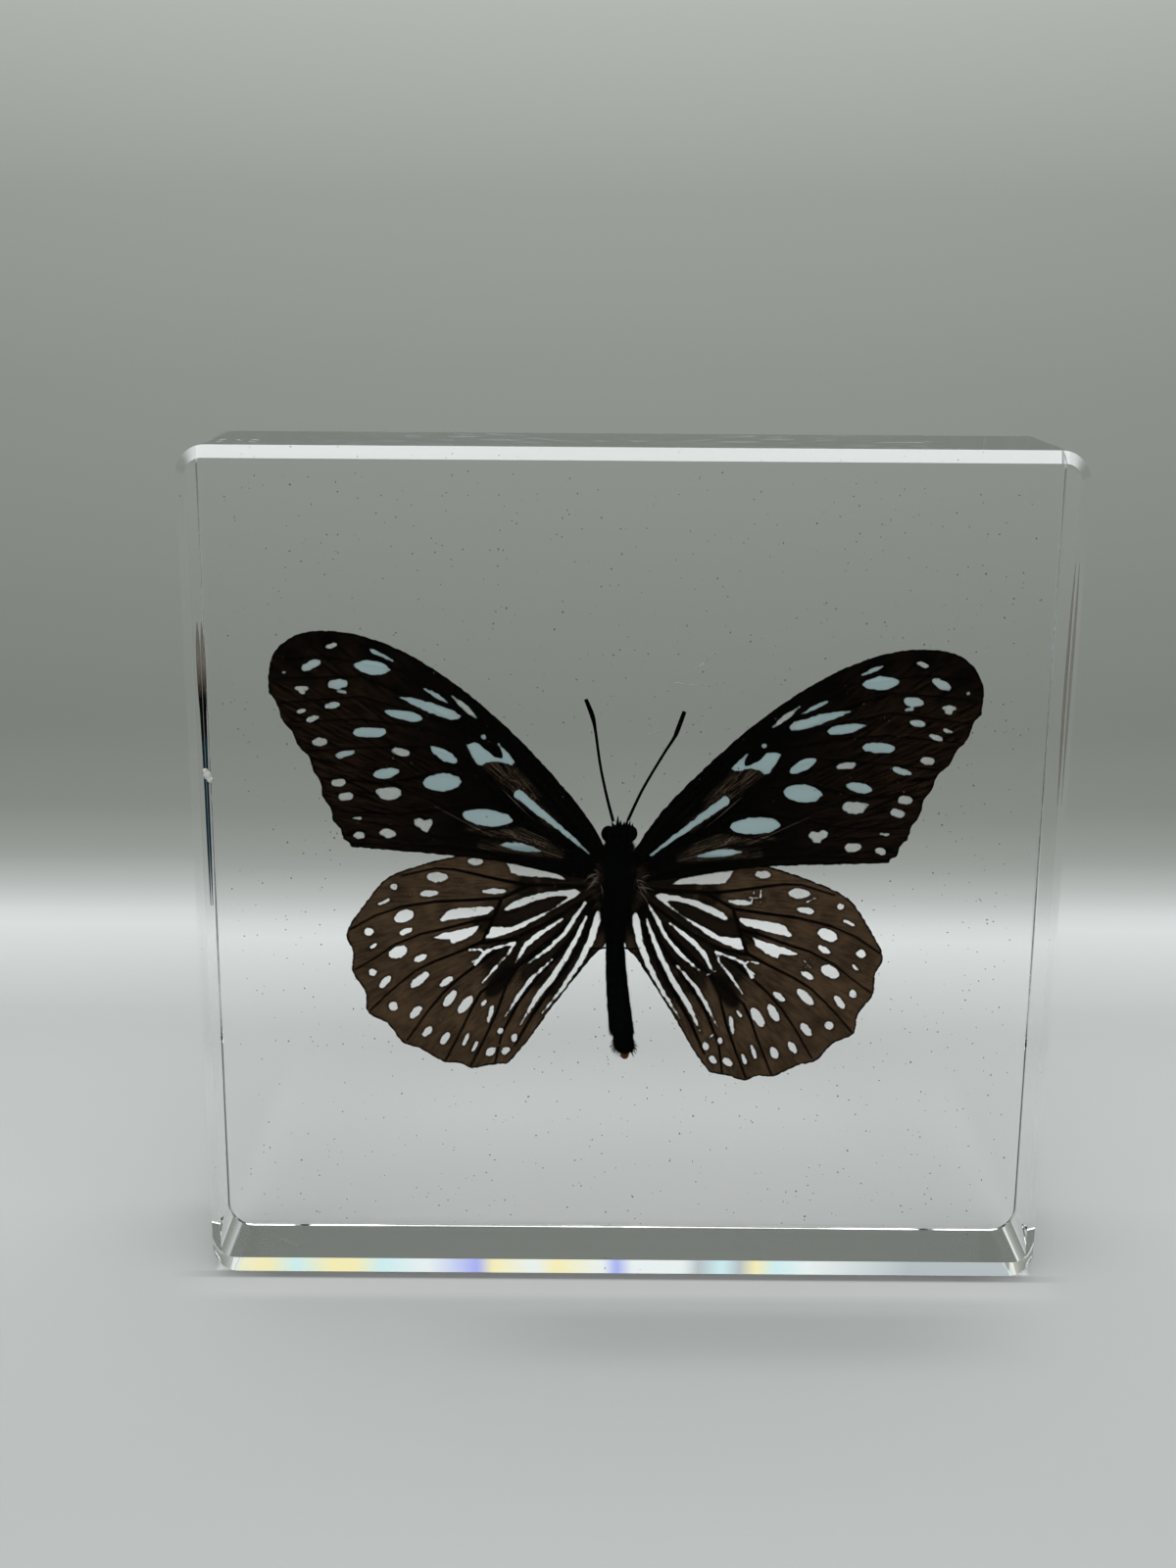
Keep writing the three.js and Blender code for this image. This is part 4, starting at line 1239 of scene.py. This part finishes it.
SWEEP_START, SWEEP_RADIUS = 0.35, 0.35
STAGE_HALF_WIDTH, STAGE_FRONT, WALL_HEIGHT = 1.8, -1.5, 1.2
ROOM_TINT = (0.95, 1.0, 0.97, 1)
SENSOR_WIDTH = 36  # of the camera, in millimetres
FILL_AIM = (0, 0, 0.05)  # the front lamp faces the middle of the block

# Lightness of the paper by the way along it, in metres behind the middle of the block. It is painted light
# and shade: a painted bright band on the floor behind the block, painted shade where the sweep starts to
# rise, painted light higher up and a painted dark band at the top
PAINTED_PAPER_TONES = (
    (-1.5, 0.42), (-0.06, 0.42), (0.01, 0.49), (0.08, 0.45), (0.134, 0.64), (0.155, 0.43), (0.18, 0.29),
    (0.22, 0.225), (0.3, 0.21), (0.45, 0.235), (0.6, 0.28), (0.7, 0.34), (0.79, 0.48), (0.83, 0.58),
    (0.885, 0.2),
)
FLOOR_TINT, WALL_TINT, TINT_TURN = (0.97, 1.0, 1.0), (0.95, 1.0, 0.93), (0.14, 0.21)

# Patches of painted light and shadow on the paper round the block's foot: painted light behind the block and
# just in front of its foot, a painted contact shadow along its foot, and a painted shadow of the insect
# further in front. Each is given as where it starts, is full, starts to fade and ends, in metres
BEHIND, BEHIND_SIDES, BEHIND_FADE = (0.010, 0.014, 0.045, 0.080), (0.054, 0.058), (0.015, 0.058)
CONTACT_SHADOW, CONTACT_SHADOW_SHARE = (-0.0121, -0.0116, -0.0106, -0.0100), 0.6
PAINTED_GLOW, PAINTED_LIGHT_SHARE = (-0.0185, -0.0150, -0.0124, -0.0120), 0.17
FRONT_SIDES = (0.045, 0.062)
SHADE, SHADE_ACROSS, SHADE_SHARE = (-0.036, -0.027, -0.0225, -0.0185), (-0.030, 0.000, 0.030, 0.060), 0.16
# The paper that the block hides, with painted shade in its middle and painted light at its two ends: half the
# painted shade's width, half its depth, and where all of it ends
UNDER_WIDTH, UNDER_DEPTH, HIDDEN_SIDES = 0.038, 0.0105, (0.0545, 0.0555)
# Colours of painted light, of painted shade, and of the painted light at the ends of the hidden paper
PAINTED_LIGHT_WHITE, PAINTED_SHADE_GREY, PAINTED_LIGHT_GREY = (1.0, 1.0, 1.0), (0.05, 0.05, 0.05), (0.90, 0.90, 0.88)

# Tints of a bright strip painted high on the backdrop, painted light which the block's foot mirrors as
# coloured glints, by their place across
YELLOW, CYAN, BLUE = (0.97, 0.88, 0.5), (0.65, 0.88, 0.92), (0.4, 0.45, 0.92)
WHITE, GREY = (0.86, 0.91, 0.91), (0.5, 0.55, 0.58)
STRIP_PATCHES = (
    (-0.2, WHITE), (-0.167, YELLOW), (-0.152, CYAN), (-0.135, YELLOW), (-0.122, YELLOW), (-0.109, CYAN),
    (-0.085, WHITE), (-0.06, BLUE), (-0.052, YELLOW), (-0.031, WHITE), (-0.02, YELLOW), (0.004, WHITE),
    (0.011, BLUE), (0.019, WHITE), (0.045, WHITE), (0.053, GREY), (0.065, CYAN), (0.074, GREY),
    (0.082, YELLOW), (0.092, CYAN), (0.109, WHITE), (0.16, GREY), (0.22, GREY),
)
STRIP_HEIGHT = (0.803, 0.812, 0.848, 0.860)


def sweep(gap):
    """A floor that curves up into a backdrop behind the block. It carries the way along it."""
    deselect_all()
    bpy.ops.mesh.primitive_grid_add(x_subdivisions=4, y_subdivisions=120, size=2)
    piece = named("studio_sweep")
    places = corners_of(piece.data)
    arc_length = SWEEP_RADIUS * math.pi / 2
    end = SWEEP_START + arc_length + WALL_HEIGHT
    along = STAGE_FRONT + (places[:, 1] + 1) / 2 * (end - STAGE_FRONT)
    angle = np.clip(along - SWEEP_START, 0, arc_length) / SWEEP_RADIUS
    y = np.minimum(along, SWEEP_START) + SWEEP_RADIUS * np.sin(angle)
    z = SWEEP_RADIUS * (1 - np.cos(angle)) + np.maximum(along - SWEEP_START - arc_length, 0) - gap
    move_corners(piece.data, np.stack((places[:, 0] * STAGE_HALF_WIDTH, y, z), 1))
    write_field(piece.data, "along", along)
    smooth(piece)
    return piece


def ramp_over(finish, value, rows):
    """A colour ramp over a wire, from rows of its value and the colour there."""
    first, last = rows[0][0], rows[-1][0]
    stops = [((place - first) / (last - first), colour) for place, colour in rows]
    return finish.ramp((value - first) * (1 / (last - first)), stops)


def sweep_finish():
    """Pale paper with light and shade painted on it: darker where the sweep starts to rise and lighter again
    higher up, with painted light and shadows round the block's foot and a painted bright strip high up.
    """
    finish = Finish("studio_paper", Roughness=0.9)
    along, x, y = finish.attribute("along"), finish.coordinate("X"), finish.coordinate("Y")
    across, back = x.most(0 - x), y.most(0 - y)
    # painted light and shade along the sweep
    painted_tones = ramp_over(finish, along, [(place, (tone,) * 3) for place, tone in PAINTED_PAPER_TONES])
    tint = finish.mix(along.step(*TINT_TURN), FLOOR_TINT, WALL_TINT)
    colour = finish.mix(1.0, painted_tones, tint, "MULTIPLY")
    # painted light on the paper behind the block, seen through it
    behind = y.band(*BEHIND) * (1 - across.step(*BEHIND_FADE) * 0.7) * (1 - across.step(*BEHIND_SIDES))
    colour = finish.mix(behind * PAINTED_LIGHT_SHARE, colour, PAINTED_LIGHT_WHITE)
    # painted shade on the paper under the block, and painted light at its two ends
    beneath = (1 - across.step(*HIDDEN_SIDES)) * (1 - back.step(UNDER_DEPTH - 0.001, UNDER_DEPTH))
    ends = across.step(UNDER_WIDTH, UNDER_WIDTH + 0.004)
    colour = finish.mix(beneath * (1 - ends), colour, PAINTED_SHADE_GREY)
    colour = finish.mix(beneath * ends, colour, PAINTED_LIGHT_GREY)
    front = 1 - across.step(*FRONT_SIDES)
    # painted contact shadow along the block's foot
    colour = finish.mix(front * y.band(*CONTACT_SHADOW) * CONTACT_SHADOW_SHARE, colour, PAINTED_SHADE_GREY)
    # painted light just in front of the foot, where light through the block falls
    colour = finish.mix(front * y.band(*PAINTED_GLOW) * PAINTED_LIGHT_SHARE, colour, PAINTED_LIGHT_WHITE)
    # painted shadow of the insect on the paper in front of the block
    colour = finish.mix(x.band(*SHADE_ACROSS) * y.band(*SHADE) * SHADE_SHARE, colour, PAINTED_SHADE_GREY)
    # painted bright tinted strip high on the backdrop, mirrored in the block's foot
    colour = finish.mix(along.band(*STRIP_HEIGHT), colour, ramp_over(finish, x, STRIP_PATCHES))
    finish.set(Base_Color=colour)
    return finish.material


def soft_lamp(name, size, power, place, aim):
    """An area lamp that faces a point."""
    light = bpy.data.lights.new(name, "AREA")
    light.shape = "RECTANGLE"
    light.size, light.size_y = size
    light.energy = power
    lamp = bpy.data.objects.new(name, light)
    turn = (Vector(aim) - Vector(place)).to_track_quat("-Z", "Y").to_matrix().to_4x4()
    lamp.matrix_world = Matrix.Translation(place) @ turn
    bpy.context.scene.collection.objects.link(lamp)


class SPECIMEN_OT_stage(bpy.types.Operator):
    """Makes the floor, the lights and the camera"""

    bl_idname = "specimen.stage"
    bl_label = "Make Stage"

    def execute(self, context):
        settings = context.scene.specimen_stage
        paper = sweep(settings.gap)
        paper.data.materials.append(sweep_finish())
        above = (settings.lamp_place[0], settings.lamp_place[1], 0.0)
        soft_lamp("overhead_softbox", settings.lamp_size, settings.lamp_power, settings.lamp_place, above)
        soft_lamp("front_softbox", settings.fill_size, settings.fill_power, settings.fill_place, FILL_AIM)
        world = bpy.data.worlds.new("soft_room")
        world.use_nodes = True
        background = world.node_tree.nodes["Background"]
        background.inputs["Color"].default_value = ROOM_TINT
        background.inputs["Strength"].default_value = settings.ambient
        context.scene.world = world
        camera = bpy.data.objects.new("camera", bpy.data.cameras.new("camera"))
        camera.data.lens = settings.lens
        camera.data.sensor_width = SENSOR_WIDTH
        camera.data.clip_start = 0.01
        pitch = Matrix.Rotation(math.pi / 2 - settings.camera_pitch, 4, "X")
        roll = Matrix.Rotation(settings.camera_roll, 4, "Z")
        camera.matrix_world = Matrix.Translation(settings.camera_place) @ pitch @ roll
        context.scene.collection.objects.link(camera)
        context.scene.camera = camera
        context.scene.view_settings.view_transform = "Standard"
        return {"FINISHED"}


class SPECIMEN_PT_panel(bpy.types.Panel):
    """Lists the specimen's operators"""

    bl_idname = "SPECIMEN_PT_panel"
    bl_label = "Specimen"
    bl_space_type = "VIEW_3D"
    bl_region_type = "UI"
    bl_category = "Specimen"

    def draw(self, context):
        for operator in OPERATORS:
            self.layout.operator(operator.bl_idname)


GROUPS = {"specimen_wings": WingSettings, "specimen_body": BodySettings, "specimen_block": BlockSettings,
          "specimen_stage": StageSettings}
OPERATORS = (SPECIMEN_OT_stage, SPECIMEN_OT_wings, SPECIMEN_OT_body, SPECIMEN_OT_block)


def register():
    for kind in (*GROUPS.values(), *OPERATORS, SPECIMEN_PT_panel):
        bpy.utils.register_class(kind)
    for name, group in GROUPS.items():
        setattr(bpy.types.Scene, name, PointerProperty(type=group))


def unregister():
    for name in GROUPS:
        delattr(bpy.types.Scene, name)
    for kind in (SPECIMEN_PT_panel, *reversed(OPERATORS), *reversed(GROUPS.values())):
        bpy.utils.unregister_class(kind)


def main():
    register()
    bpy.ops.specimen.stage()
    bpy.ops.specimen.wings()
    bpy.ops.specimen.body()
    bpy.ops.specimen.block()


if __name__ == "__main__":
    main()
